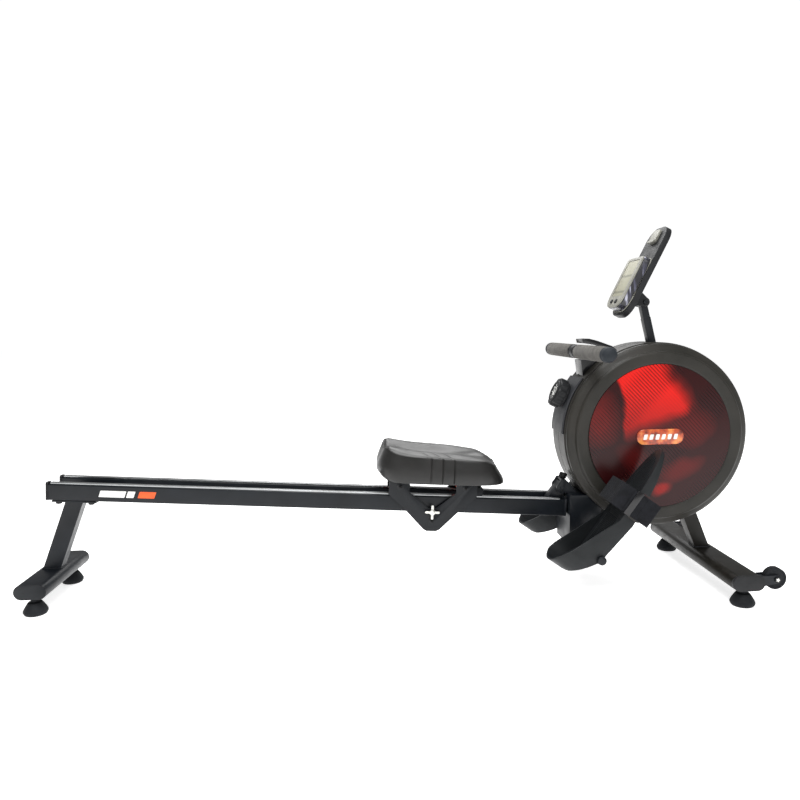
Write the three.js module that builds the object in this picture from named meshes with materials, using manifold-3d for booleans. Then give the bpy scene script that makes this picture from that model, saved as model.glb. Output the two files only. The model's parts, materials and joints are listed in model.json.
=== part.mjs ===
// A folding magnetic rowing machine, in millimetres. +X is the drum end, +Z is up, the floor is z = 0,
// and the origin is under the middle of the machine. "near" pieces lie at -Y and "far" ones at +Y.
import * as THREE from 'three';
import { mergeVertices } from 'three/addons/utils/BufferGeometryUtils.js';
import Module from 'manifold-3d';

// ---------- driving dimensions ----------
const GAP = 0.3; // between pieces that touch
const FIT = 0.4; // radial play of a pin in its hole
const PART_PLAY = 1.5; // between a piece and the opening it passes through
const ROUND = 20; // sides of a large round piece
const SMALL_ROUND = 12; // sides of a bolt or a pin
const DRUM_ROUND = 48; // sides of the drum casing

// Stabiliser bars: flat-sided tubes lying along Y
const BAR_WIDTH = 76;
const BAR_HEIGHT = 36;
const BAR_WALL = 2;
const BAR_CENTRE_Z = 60;
const FRONT_BAR_AHEAD = 150; // of the drum's middle
const FRONT_BAR_HALF = 241;
const REAR_BAR_BEHIND = 14.5; // the rear ends of the rails
const REAR_BAR_HALF = 133;
const CAP_LENGTH = 8;
const LEG_WIDTH = 41;
const LEG_DEPTH = 32;

// Levelling feet
const FOOT_RADIUS = 27.5;
const FOOT_STEM_RADIUS = 9.5;
const FOOT_THREAD_RADIUS = 5;
const FRONT_FOOT_Y = 212.5;
const REAR_FOOT_Y = 108;

// Transport wheels
const WHEEL_RADIUS = 25.4;
const WHEEL_WIDTH = 20;
const WHEEL_AHEAD = 67.6; // of the middle of the front bar
const WHEEL_RISE = 6.7; // above it
const WHEEL_Y = 223;
const WHEEL_BOLT_RADIUS = 4;

// Slide rails: two box beams that fall towards the drum
const RAIL_SLOPE = THREE.MathUtils.degToRad(3.58);
const RAIL_FRONT_X = 428;
const RAIL_FRONT_Z = 181; // underside of the beams at their front end
const RAIL_LENGTH = 1278;
const BEAM_WIDTH = 20;
const BEAM_HEIGHT = 40;
const BEAM_WALL = 1.8;
const BEAM_Y = 40; // middle of each beam
const TRACK_WIDTH = 14;
const TRACK_HEIGHT = 3.2;
const RAIL_CAP_LENGTH = 6;

// Fold hinge, given along the rails from their front end
const HINGE_ALONG = -2;
const HINGE_RISE = 26; // above the top of the beams
const HINGE_BOSS_RADIUS = 14;
const HINGE_PIN_RADIUS = 5;
const HINGE_EAR_HALF = 17.5;
const KNOB_DIRECTION = THREE.MathUtils.degToRad(73); // of the clamp knob, seen from the hinge pin

// Fold bracket and main frame
const BRACKET_REAR_X = 440;
const BRACKET_FRONT_X = 520;
const BRACKET_HALF = 60;
const BRACKET_BOTTOM = 105;
const BRACKET_TOP = 235;
const BRACKET_WALL = 4;
const SPINE_HALF = 34;
const SPINE_BOTTOM = 178;
const SPINE_TOP = 228;
const SPINE_AHEAD = 88; // of the drum's middle
const FRAME_WALL = 3;
const POST_SIZE = 35;
const POST_ANGLE = THREE.MathUtils.degToRad(21.5); // forward of straight down
const POST_LENGTH = 165; // above the front bar
const AXLE_PLATE = 5;

// Drum
const DRUM_RADIUS = 230;
const DRUM_BOTTOM = 154; // height of the lowest point of the rim
const DRUM_OVERHANG = 13; // of the rim behind the fold bracket
const DRUM_HALF = 60; // half width of the straight rim
const DRUM_FACE = 84; // half width over the side faces
const FACE_INSET = 22; // of the side faces inside the rim
const CASING_WALL = 3;
const LENS_INSET = 53; // of the red lenses inside the rim
const LENS_DOME = 7;
const LENS_THICKNESS = 4;

// Flywheel, reel and brake inside the drum
const FLYWHEEL_RADIUS = 140;
const FLYWHEEL_NEAR_Y = 17;
const FLYWHEEL_WIDTH = 14;
const AXLE_RADIUS = 10;
const REEL_RADIUS = 40;
const REEL_HALF = 15;
const MAGNET_GAP = 7;
const MAGNET_DEPTH = 10;
const BRAKE_PIVOT_ANGLE = THREE.MathUtils.degToRad(249);
const BRAKE_SPAN = THREE.MathUtils.degToRad(75);

// Rider side of the drum: cover, cradle, knob
const COVER_HALF = 50;
const COVER_THICKNESS = 6;
const COVER_START = THREE.MathUtils.degToRad(141.5);
const COVER_END = THREE.MathUtils.degToRad(179);
const KNOB_ANGLE = THREE.MathUtils.degToRad(155.5);
const KNOB_RADIUS = 38;
const KNOB_DEPTH = 30;
const KNOB_LOBES = 10;
const KNOB_STEM_RADIUS = 5;
const CRADLE_HALF = 27;

// Pull handle
const HANDLE_RISE = 48.737; // of the bar above the rim
const HANDLE_ANGLE = THREE.MathUtils.degToRad(131.3624);
const HANDLE_HALF = 260;
const HANDLE_TUBE_RADIUS = 12.5;
const GRIP_RADIUS = 18;
const GRIP_START = 24;
const GRIP_END = 232;
const STRAP_WIDTH = 24;
const STRAP_THICKNESS = 2;
const GUIDE_DEPTH = 10.33; // of the strap under the rim, where it meets the guide roller
const GUIDE_RADIUS = 12;

// Console
const MAST_SIZE = 19;
const MAST_DEPTH = 21.65; // of the mast's foot under the rim
const MAST_ANGLE = THREE.MathUtils.degToRad(86.698);
const MAST_RUN = new THREE.Vector3(-29, 0, 122); // from its foot to the console's pivot
const CONSOLE_TILT = THREE.MathUtils.degToRad(27);
const CONSOLE_EYE_RADIUS = 12;
const CONSOLE_PIN_RADIUS = 5;
const CONSOLE_OFFSET = 28.5; // from the pivot to the back of the plate
const PLATE_THICKNESS = 15;
const PLATE_HALF = 56;
const PLATE_BOTTOM = -58;
const PLATE_TOP = 186;
const METER_DEPTH = 18;
const METER_HALF = 53;
const METER_BOTTOM = -47;
const METER_TOP = 93;
const BEZEL_THICKNESS = 4;
const BUTTON_RADIUS = 6;
const BUTTON_Y = 15;
const BUTTON_Z = METER_BOTTOM + 12;

// Pedals
const PEDAL_HEEL = new THREE.Vector3(396, 157, 87); // lower heel corner
const PEDAL_PITCH = THREE.MathUtils.degToRad(54);
const PEDAL_LENGTH = 362;
const PEDAL_HALF = 52;
const PEDAL_WALL = 4;
const PEDAL_AXLE_X = 472;
const PEDAL_AXLE_Z = 117;
const PEDAL_AXLE_RADIUS = 8;
const PEDAL_AXLE_HALF = PEDAL_HEEL.y + PEDAL_HALF + 7;
const REST_ALONG = 153.85; // bar under the pedals, in their own frame
const REST_UP = -63.74;
const REST_RADIUS = 8;
const REST_HALF = 140;

// Seat
const SEAT_ALONG = -335; // middle of the carriage, along the rails from their front end
const WHEELBASE = 164; // between the seat rollers
const ROLLER_RADIUS = 20;
const ROLLER_BOLT_RADIUS = 4;
const CARRIAGE_PLATE_Y = 54;
const CARRIAGE_PLATE = 3;
const CARRIAGE_CLEARANCE = 0.7; // over the rollers
const SEAT_HALF = 120;
const SEAT_REAR = 106; // behind the middle of the carriage, to the rounding
const SEAT_FRONT = 161; // ahead of it
const SEAT_EDGE = 14; // radius of the rounding
const SEAT_THICKNESS = 56; // at the rear, to the rounding
const SEAT_SKIRT = 5; // that hangs below the top of the carriage
const CARRIAGE_EAR_HALF = 110;
const SCREW_UP = 3; // winged screw, above the underside of the beams

// ---------- places that follow ----------
const DRUM_X = BRACKET_REAR_X - DRUM_OVERHANG + DRUM_RADIUS;
const DRUM_Z = DRUM_BOTTOM + DRUM_RADIUS;
const FACE_RADIUS = DRUM_RADIUS - FACE_INSET;
const LENS_RADIUS = DRUM_RADIUS - LENS_INSET;
const FRONT_BAR_X = DRUM_X + FRONT_BAR_AHEAD;
const REAR_BAR_X = RAIL_FRONT_X - RAIL_LENGTH * Math.cos(RAIL_SLOPE) - REAR_BAR_BEHIND;
const WHEEL_X = FRONT_BAR_X + WHEEL_AHEAD;
const WHEEL_Z = BAR_CENTRE_Z + WHEEL_RISE;
const SPINE_FRONT_X = DRUM_X + SPINE_AHEAD;
const HINGE_UP = BEAM_HEIGHT + HINGE_RISE;
const HANDLE_X = drumPoint(DRUM_RADIUS + HANDLE_RISE, HANDLE_ANGLE).x;
const HANDLE_Z = drumPoint(DRUM_RADIUS + HANDLE_RISE, HANDLE_ANGLE).z;
const GUIDE_X = DRUM_X - Math.sqrt((DRUM_RADIUS - GUIDE_DEPTH) ** 2 - (HANDLE_Z - DRUM_Z) ** 2);
const MAST_FOOT = drumPoint(DRUM_RADIUS - MAST_DEPTH, MAST_ANGLE);
const CONSOLE_PIVOT = MAST_FOOT.clone().add(MAST_RUN);
const ROLLER_UP = BEAM_HEIGHT + TRACK_HEIGHT + 2 * GAP + ROLLER_RADIUS;
const LOWER_ROLLER_UP = -GAP - ROLLER_RADIUS;
const CARRIAGE_TOP = ROLLER_UP + ROLLER_RADIUS + CARRIAGE_CLEARANCE;
const SEAT_BOTTOM = CARRIAGE_TOP + CARRIAGE_PLATE + 0.5;

// ---------- colours ----------
const finish = (colour, roughness, metalness) => new THREE.MeshStandardMaterial({
  color: colour,
  roughness,
  metalness,
});
const BLACK_PAINT = finish(0x222326, 0.45, 0.3);
const BLACK_PLASTIC = finish(0x2a2b2d, 0.55, 0);
const DARK_RUBBER = finish(0x2b2d30, 0.85, 0);
const GREY_FOAM = finish(0x72706c, 0.95, 0);
const RED_LENS = finish(0x8f1c1c, 0.2, 0);
const RED_URETHANE = finish(0xb0301f, 0.5, 0);
const SILVER_PLASTIC = finish(0xa9a79e, 0.35, 0.3);
const ZINC = finish(0xb9b9b4, 0.3, 0.9);
const ALUMINIUM = finish(0xb4b6b8, 0.3, 0.9);
const CAST_IRON = finish(0x4a4a4c, 0.5, 0.8);
const WEBBING = finish(0x2a2b2e, 0.9, 0);

// ---------- solids ----------
const wasm = await Module();
wasm.setup();

function toSolid(geometry) {
  const bare = geometry.clone();
  bare.deleteAttribute('normal');
  bare.deleteAttribute('uv');
  const merged = mergeVertices(bare, 1e-3);
  const mesh = new wasm.Mesh({
    numProp: 3,
    vertProperties: new Float32Array(merged.attributes.position.array),
    triVerts: new Uint32Array(merged.index.array),
  });
  return new wasm.Manifold(mesh);
}

function toGeometry(solid) {
  const mesh = solid.getMesh();
  const geometry = new THREE.BufferGeometry();
  geometry.setAttribute('position', new THREE.BufferAttribute(new Float32Array(mesh.vertProperties), 3));
  geometry.setIndex(new THREE.BufferAttribute(new Uint32Array(mesh.triVerts), 1));
  const flat = geometry.toNonIndexed();
  flat.computeVertexNormals();
  return flat;
}

function join(...geometries) {
  return toGeometry(geometries.map(toSolid).reduce((all, next) => all.add(next)));
}

function cut(body, ...tools) {
  return toGeometry(tools.map(toSolid).reduce((left, tool) => left.subtract(tool), toSolid(body)));
}

function common(first, second) {
  return toGeometry(toSolid(first).intersect(toSolid(second)));
}

// ---------- outlines ----------
function polygon(points) {
  return new THREE.Shape(points.map(([a, b]) => new THREE.Vector2(a, b)));
}

function roundedRectangle(left, bottom, right, top, radius) {
  const shape = new THREE.Shape();
  shape.absarc(right - radius, bottom + radius, radius, -Math.PI / 2, 0);
  shape.absarc(right - radius, top - radius, radius, 0, Math.PI / 2);
  shape.absarc(left + radius, top - radius, radius, Math.PI / 2, Math.PI);
  shape.absarc(left + radius, bottom + radius, radius, Math.PI, 1.5 * Math.PI);
  return shape;
}

function stadium(centreX, centreZ, width, height) {
  return roundedRectangle(
    centreX - width / 2,
    centreZ - height / 2,
    centreX + width / 2,
    centreZ + height / 2,
    height / 2 - 0.01,
  );
}

// Points on a circle about (x, z), from one angle to another
function arc(x, z, radius, from, to, steps) {
  const points = [];
  for (let i = 0; i <= steps; i += 1) {
    const angle = from + ((to - from) * i) / steps;
    points.push([x + radius * Math.cos(angle), z + radius * Math.sin(angle)]);
  }
  return points;
}

// ---------- extrusions ----------
function extrude(shape, depth, curveSegments = 4) {
  return new THREE.ExtrudeGeometry(shape, { depth, bevelEnabled: false, curveSegments });
}

// An x-z outline, extruded from one y to another
function alongY(shape, fromY, toY, curveSegments) {
  return extrude(shape, toY - fromY, curveSegments).rotateX(Math.PI / 2).translate(0, toY, 0);
}

// An x-y outline, extruded from one z to another
function alongZ(shape, fromZ, toZ, curveSegments) {
  return extrude(shape, toZ - fromZ, curveSegments).translate(0, 0, fromZ);
}

// A y-z outline, extruded from one x to another
function alongX(shape, fromX, toX, curveSegments) {
  const turn = new THREE.Matrix4().makeBasis(
    new THREE.Vector3(0, 1, 0),
    new THREE.Vector3(0, 0, 1),
    new THREE.Vector3(1, 0, 0),
  );
  return extrude(shape, toX - fromX, curveSegments).applyMatrix4(turn).translate(fromX, 0, 0);
}

function block(fromX, toX, fromY, toY, fromZ, toZ) {
  return new THREE.BoxGeometry(toX - fromX, toY - fromY, toZ - fromZ)
    .translate((fromX + toX) / 2, (fromY + toY) / 2, (fromZ + toZ) / 2);
}

function rodY(x, z, radius, fromY, toY, sides = SMALL_ROUND) {
  return new THREE.CylinderGeometry(radius, radius, toY - fromY, sides)
    .translate(x, (fromY + toY) / 2, z);
}

function rodZ(x, y, radius, fromZ, toZ, sides = SMALL_ROUND) {
  return new THREE.CylinderGeometry(radius, radius, toZ - fromZ, sides)
    .rotateX(Math.PI / 2)
    .translate(x, y, (fromZ + toZ) / 2);
}

// A round rod from one point to another
function rodBetween(start, end, radius, sides = SMALL_ROUND) {
  const along = new THREE.Vector3().subVectors(end, start);
  const turn = new THREE.Quaternion().setFromUnitVectors(
    new THREE.Vector3(0, 1, 0),
    along.clone().normalize(),
  );
  const middle = new THREE.Vector3().addVectors(start, end).multiplyScalar(0.5);
  return new THREE.CylinderGeometry(radius, radius, along.length(), sides)
    .applyQuaternion(turn)
    .translate(middle.x, middle.y, middle.z);
}

// A square bar in the x-z plane, from one point to another
function squareBar(start, end, width, depth) {
  const along = new THREE.Vector3().subVectors(end, start);
  const middle = new THREE.Vector3().addVectors(start, end).multiplyScalar(0.5);
  return new THREE.BoxGeometry(width, depth, along.length())
    .rotateY(Math.atan2(along.x, along.z))
    .translate(middle.x, middle.y, middle.z);
}

// A profile of [radius, y] points turned round the Y axis through (x, z), with its faces outwards
function turned(profile, x, z, sides) {
  const points = profile.map(([radius, y]) => new THREE.Vector2(radius, y));
  if (THREE.ShapeUtils.area(points) < 0) points.reverse();
  return new THREE.LatheGeometry(points, sides).translate(x, 0, z);
}

function mirrored(geometry) {
  return toGeometry(toSolid(geometry).mirror([0, 1, 0]));
}

const model = new THREE.Group();

function place(parent, name, geometry, material) {
  const mesh = new THREE.Mesh(geometry, material);
  mesh.name = name;
  parent.add(mesh);
  return mesh;
}

// The near piece and its mirror image
function placePair(parent, name, nearGeometry, material) {
  place(parent, `${name}_near`, nearGeometry, material);
  place(parent, `${name}_far`, mirrored(nearGeometry), material);
}

// ---------- stabilisers and feet ----------
function barTube(centreX, halfLength, growth = 0) {
  const outline = stadium(centreX, BAR_CENTRE_Z, BAR_WIDTH + growth, BAR_HEIGHT + growth);
  return alongY(outline, -halfLength, halfLength);
}

function barHollow(centreX, halfLength) {
  const width = BAR_WIDTH - 2 * BAR_WALL;
  const height = BAR_HEIGHT - 2 * BAR_WALL;
  return alongY(stadium(centreX, BAR_CENTRE_Z, width, height), -halfLength, halfLength);
}

function footHole(x, y) {
  const bottom = BAR_CENTRE_Z - BAR_HEIGHT / 2;
  return rodZ(x, y, FOOT_THREAD_RADIUS + FIT, bottom - 1, bottom + BAR_WALL + 2);
}

function makeFoot(x, y) {
  const bottom = BAR_CENTRE_Z - BAR_HEIGHT / 2;
  const profile = [
    [0, 0],
    [FOOT_RADIUS, 0],
    [FOOT_RADIUS, 9],
    [FOOT_RADIUS - 6, 21],
    [FOOT_STEM_RADIUS + 5, 26],
    [FOOT_STEM_RADIUS, 28],
    [FOOT_STEM_RADIUS, bottom - GAP],
    [FOOT_THREAD_RADIUS, bottom - GAP],
    [FOOT_THREAD_RADIUS, bottom + BAR_HEIGHT / 2],
    [0, bottom + BAR_HEIGHT / 2],
  ];
  const points = profile.map(([radius, z]) => new THREE.Vector2(radius, z));
  return new THREE.LatheGeometry(points, ROUND).rotateX(Math.PI / 2).translate(x, y, 0);
}

function makeFeet() {
  const spots = { front: [FRONT_BAR_X, FRONT_FOOT_Y], rear: [REAR_BAR_X, REAR_FOOT_Y] };
  for (const [end, [x, y]] of Object.entries(spots)) {
    place(model, `foot_${end}_near`, makeFoot(x, -y), DARK_RUBBER);
    place(model, `foot_${end}_far`, makeFoot(x, y), DARK_RUBBER);
  }
}

function makeFrontStabiliser() {
  const tubeHalf = FRONT_BAR_HALF - CAP_LENGTH;
  const bar = cut(
    barTube(FRONT_BAR_X, tubeHalf),
    barHollow(FRONT_BAR_X, tubeHalf + 1),
    footHole(FRONT_BAR_X, -FRONT_FOOT_Y),
    footHole(FRONT_BAR_X, FRONT_FOOT_Y),
  );
  place(model, 'front_stabiliser', bar, BLACK_PAINT);

  const plugDepth = 12;
  const capOutline = stadium(FRONT_BAR_X, BAR_CENTRE_Z, BAR_WIDTH, BAR_HEIGHT);
  const slack = 2 * (BAR_WALL + GAP);
  const plugOutline = stadium(FRONT_BAR_X, BAR_CENTRE_Z, BAR_WIDTH - slack, BAR_HEIGHT - slack);
  const cap = join(
    alongY(capOutline, -FRONT_BAR_HALF, -tubeHalf - GAP),
    alongY(plugOutline, -tubeHalf - 1, -tubeHalf + plugDepth),
  );
  placePair(model, 'front_bar_cap', cap, BLACK_PLASTIC);
}

function makeTransportWheels() {
  const earThickness = 3;
  const earInner = WHEEL_WIDTH / 2 + 1;
  const bracketBack = FRONT_BAR_X + 20;
  const outline = polygon([
    [bracketBack, BAR_CENTRE_Z - 11],
    ...arc(WHEEL_X, WHEEL_Z, 10, -Math.PI / 2, Math.PI / 2, 8),
    [bracketBack, BAR_CENTRE_Z + 15],
  ]);
  const ear = (side) => {
    const inner = side * earInner;
    const outer = side * (earInner + earThickness);
    return alongY(outline, -WHEEL_Y + Math.min(inner, outer), -WHEEL_Y + Math.max(inner, outer));
  };
  const bridgeFront = WHEEL_X - WHEEL_RADIUS - 1.5;
  const bridge = block(
    bracketBack,
    bridgeFront,
    -WHEEL_Y - earInner - 1,
    -WHEEL_Y + earInner + 1,
    BAR_CENTRE_Z - 9,
    BAR_CENTRE_Z + 13,
  );
  const boltHalf = earInner + earThickness + 4;
  const bolt = rodY(WHEEL_X, WHEEL_Z, WHEEL_BOLT_RADIUS, -WHEEL_Y - boltHalf, -WHEEL_Y + boltHalf);
  const bracket = cut(
    join(ear(-1), ear(1), bridge, bolt),
    barTube(FRONT_BAR_X, FRONT_BAR_HALF + 10, 2 * GAP),
  );
  placePair(model, 'wheel_bracket', bracket, BLACK_PAINT);

  const hub = WHEEL_BOLT_RADIUS + FIT;
  const half = WHEEL_WIDTH / 2;
  const wheel = turned([
    [hub, -half],
    [WHEEL_RADIUS - 2, -half],
    [WHEEL_RADIUS, -half + 3],
    [WHEEL_RADIUS, half - 3],
    [WHEEL_RADIUS - 2, half],
    [hub, half],
    [hub, -half],
  ], WHEEL_X, WHEEL_Z, ROUND);
  placePair(model, 'transport_wheel', wheel.translate(0, -WHEEL_Y, 0), DARK_RUBBER);
}

// ---------- rails ----------
const rails = new THREE.Group();
rails.position.set(RAIL_FRONT_X, 0, RAIL_FRONT_Z);
rails.rotation.y = RAIL_SLOPE;
model.add(rails);

const alongRail = new THREE.Vector3(Math.cos(RAIL_SLOPE), 0, -Math.sin(RAIL_SLOPE));
const upFromRail = new THREE.Vector3(Math.sin(RAIL_SLOPE), 0, Math.cos(RAIL_SLOPE));

// A point given along the rails and up from their underside, in the model's frame
function railPoint(along, up) {
  return new THREE.Vector3(RAIL_FRONT_X, 0, RAIL_FRONT_Z)
    .addScaledVector(alongRail, along)
    .addScaledVector(upFromRail, up);
}

function toRailFrame(geometry) {
  return geometry.translate(-RAIL_FRONT_X, 0, -RAIL_FRONT_Z).rotateY(-RAIL_SLOPE);
}

const hinge = railPoint(HINGE_ALONG, HINGE_UP);

function makeRails() {
  const beamRear = -RAIL_LENGTH + RAIL_CAP_LENGTH;
  const left = -BEAM_Y - BEAM_WIDTH / 2;
  const right = -BEAM_Y + BEAM_WIDTH / 2;
  const outer = roundedRectangle(left, 0, right, BEAM_HEIGHT, 3);
  const inner = roundedRectangle(
    left + BEAM_WALL,
    BEAM_WALL,
    right - BEAM_WALL,
    BEAM_HEIGHT - BEAM_WALL,
    1.5,
  );
  outer.holes.push(inner);
  placePair(rails, 'rail', alongX(outer, beamRear, 0, 3), BLACK_PAINT);

  const trackBottom = BEAM_HEIGHT + GAP;
  const track = block(
    beamRear + 4,
    -12,
    -BEAM_Y - TRACK_WIDTH / 2,
    -BEAM_Y + TRACK_WIDTH / 2,
    trackBottom,
    trackBottom + TRACK_HEIGHT,
  );
  placePair(rails, 'track', track, ALUMINIUM);

  const capOutline = roundedRectangle(left - 0.5, -0.5, right + 0.5, BEAM_HEIGHT + TRACK_HEIGHT + 1, 4);
  const slack = BEAM_WALL + GAP;
  const plugOutline = roundedRectangle(left + slack, slack, right - slack, BEAM_HEIGHT - slack, 2);
  const plug = alongX(plugOutline, beamRear - 1, beamRear + 12, 2);
  const cap = join(alongX(capOutline, -RAIL_LENGTH, beamRear - GAP, 4), plug);
  placePair(rails, 'rail_cap', cap, BLACK_PLASTIC);
}

// End plate across the beams, with the ear that swings on the fold hinge
function makeRailHinge() {
  const plateThickness = 5;
  const earOutline = polygon([
    [GAP + plateThickness, 2],
    [GAP + plateThickness, BEAM_HEIGHT + 4],
    ...arc(HINGE_ALONG, HINGE_UP, HINGE_BOSS_RADIUS, -Math.PI / 4, 0.62 * Math.PI, 10),
    [-36, BEAM_HEIGHT - 2],
    [-36, 12],
    [-24, 2],
  ]);
  const ear = alongY(earOutline, -HINGE_EAR_HALF, HINGE_EAR_HALF);
  const plateHalf = BEAM_Y + BEAM_WIDTH / 2;
  const plate = block(GAP, GAP + plateThickness, -plateHalf, plateHalf, 0, BEAM_HEIGHT + 4);
  const hole = rodY(HINGE_ALONG, HINGE_UP, HINGE_PIN_RADIUS + FIT, -HINGE_EAR_HALF - 1, HINGE_EAR_HALF + 1);
  place(rails, 'rail_hinge_plate', cut(join(ear, plate), hole), BLACK_PAINT);
}

// Stop bar across both beams, just ahead of the front seat roller
function makeFrontStop() {
  const start = SEAT_ALONG + WHEELBASE / 2 + ROLLER_RADIUS + 0.8;
  const bottom = BEAM_HEIGHT + TRACK_HEIGHT + 2 * GAP;
  const outline = roundedRectangle(start, bottom, start + 24, bottom + 22, 6);
  const half = BEAM_Y + BEAM_WIDTH / 2;
  place(rails, 'front_stop', alongY(outline, -half, half, 3), DARK_RUBBER);
}

// Rear leg, its mounting plate under the beams and the rear stabiliser, welded into one frame
function makeRearLeg() {
  const plateThickness = 4;
  const plateUnder = -GAP - plateThickness;
  const plateRear = -RAIL_LENGTH + 14;
  const plateFront = plateRear + 106;
  const plateHalf = BEAM_Y + BEAM_WIDTH / 2 - 1;
  const plate = block(plateRear, plateFront, -plateHalf, plateHalf, plateUnder, -GAP);
  const boltHeads = [plateRear + 14, plateFront - 14].flatMap((x) => [-BEAM_Y, BEAM_Y].map(
    (y) => rodZ(x, y, 7, plateUnder - 5, plateUnder + 1),
  ));
  const legTop = railPoint((plateRear + plateFront) / 2 - 10, plateUnder + 1);
  const legFoot = new THREE.Vector3(REAR_BAR_X - 4, 0, BAR_CENTRE_Z);
  const above = legTop.clone().addScaledVector(new THREE.Vector3().subVectors(legTop, legFoot), 0.3);
  const leg = squareBar(legFoot, above, LEG_WIDTH, LEG_DEPTH);
  const overPlate = block(plateRear - 200, plateFront + 200, -100, 100, plateUnder + 1, 200);
  const upper = join(cut(toRailFrame(leg), overPlate), plate, ...boltHeads);
  const upperInModel = upper.rotateY(RAIL_SLOPE).translate(RAIL_FRONT_X, 0, RAIL_FRONT_Z);
  const frame = cut(
    join(upperInModel, barTube(REAR_BAR_X, REAR_BAR_HALF)),
    barHollow(REAR_BAR_X, REAR_BAR_HALF - BAR_WALL),
    footHole(REAR_BAR_X, -REAR_FOOT_Y),
    footHole(REAR_BAR_X, REAR_FOOT_Y),
  );
  place(model, 'rear_leg', frame, BLACK_PAINT);
}

// ---------- seat ----------
const seat = new THREE.Group();
seat.position.set(SEAT_ALONG, 0, 0);
rails.add(seat);

function makeCarriage() {
  const outline = polygon([
    [-CARRIAGE_EAR_HALF, CARRIAGE_TOP + 3],
    [-CARRIAGE_EAR_HALF, BEAM_HEIGHT + 3],
    [-66, 4],
    [-20, -43],
    [-12, -47],
    [12, -47],
    [20, -43],
    [66, 4],
    [CARRIAGE_EAR_HALF, BEAM_HEIGHT + 3],
    [CARRIAGE_EAR_HALF, CARRIAGE_TOP + 3],
    [58, CARRIAGE_TOP + 3],
    [58, BEAM_HEIGHT + 10],
    [10, 12],
    [-10, 12],
    [-58, BEAM_HEIGHT + 10],
    [-58, CARRIAGE_TOP + 3],
  ]);
  const outer = CARRIAGE_PLATE_Y + CARRIAGE_PLATE;
  const screwHole = rodY(0, SCREW_UP, 4 + FIT, -outer - 1, -CARRIAGE_PLATE_Y + 1);
  const nearPlate = cut(alongY(outline, -outer, -CARRIAGE_PLATE_Y), screwHole);
  const farPlate = alongY(outline, CARRIAGE_PLATE_Y, outer);
  const top = block(-CARRIAGE_EAR_HALF, CARRIAGE_EAR_HALF, -outer, outer, CARRIAGE_TOP, CARRIAGE_TOP + 3);
  const boltEnd = outer + 4;
  const bolts = [[-WHEELBASE / 2, ROLLER_UP], [WHEELBASE / 2, ROLLER_UP], [0, LOWER_ROLLER_UP]].map(
    ([x, z]) => join(
      rodY(x, z, ROLLER_BOLT_RADIUS, -boltEnd, boltEnd),
      rodY(x, z, 7, -boltEnd, -outer + 0.5),
      rodY(x, z, 7, outer - 0.5, boltEnd),
    ),
  );
  place(seat, 'seat_carriage', join(nearPlate, farPlate, top, ...bolts), BLACK_PAINT);
}

// Two wheels on a sleeve, turned about the Y axis
function rollerGeometry(x, z) {
  const bore = ROLLER_BOLT_RADIUS + FIT;
  const sleeve = 9;
  const inner = BEAM_Y - TRACK_WIDTH / 2 - 1;
  const outer = BEAM_Y + TRACK_WIDTH / 2 + 1;
  const end = CARRIAGE_PLATE_Y - 1;
  return turned([
    [bore, -end],
    [sleeve, -end],
    [sleeve, -outer],
    [ROLLER_RADIUS, -outer],
    [ROLLER_RADIUS, -inner],
    [sleeve, -inner],
    [sleeve, inner],
    [ROLLER_RADIUS, inner],
    [ROLLER_RADIUS, outer],
    [sleeve, outer],
    [sleeve, end],
    [bore, end],
    [bore, -end],
  ], x, z, ROUND);
}

function makeRollers() {
  place(seat, 'seat_roller_rear', rollerGeometry(-WHEELBASE / 2, ROLLER_UP), RED_URETHANE);
  place(seat, 'seat_roller_front', rollerGeometry(WHEELBASE / 2, ROLLER_UP), RED_URETHANE);
  place(seat, 'seat_roller_lower', rollerGeometry(0, LOWER_ROLLER_UP), DARK_RUBBER);
}

// Winged screw that clamps the seat for storage
function makeSeatScrew() {
  const outer = CARRIAGE_PLATE_Y + CARRIAGE_PLATE;
  const hub = rodY(0, SCREW_UP, 7, -outer - 12, -outer - GAP);
  const stem = rodY(0, SCREW_UP, 4, -outer - 1, -CARRIAGE_PLATE_Y + 2);
  const wing = (turn) => {
    const blade = roundedRectangle(-3, 4, 3, 18, 2.6);
    return alongY(blade, -outer - 10, -outer - 5, 4).rotateY(turn).translate(0, 0, SCREW_UP);
  };
  const wings = [0, 1, 2, 3].map((quarter) => wing(quarter * Math.PI / 2));
  place(seat, 'seat_screw', join(hub, stem, ...wings), ZINC);
}

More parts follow.
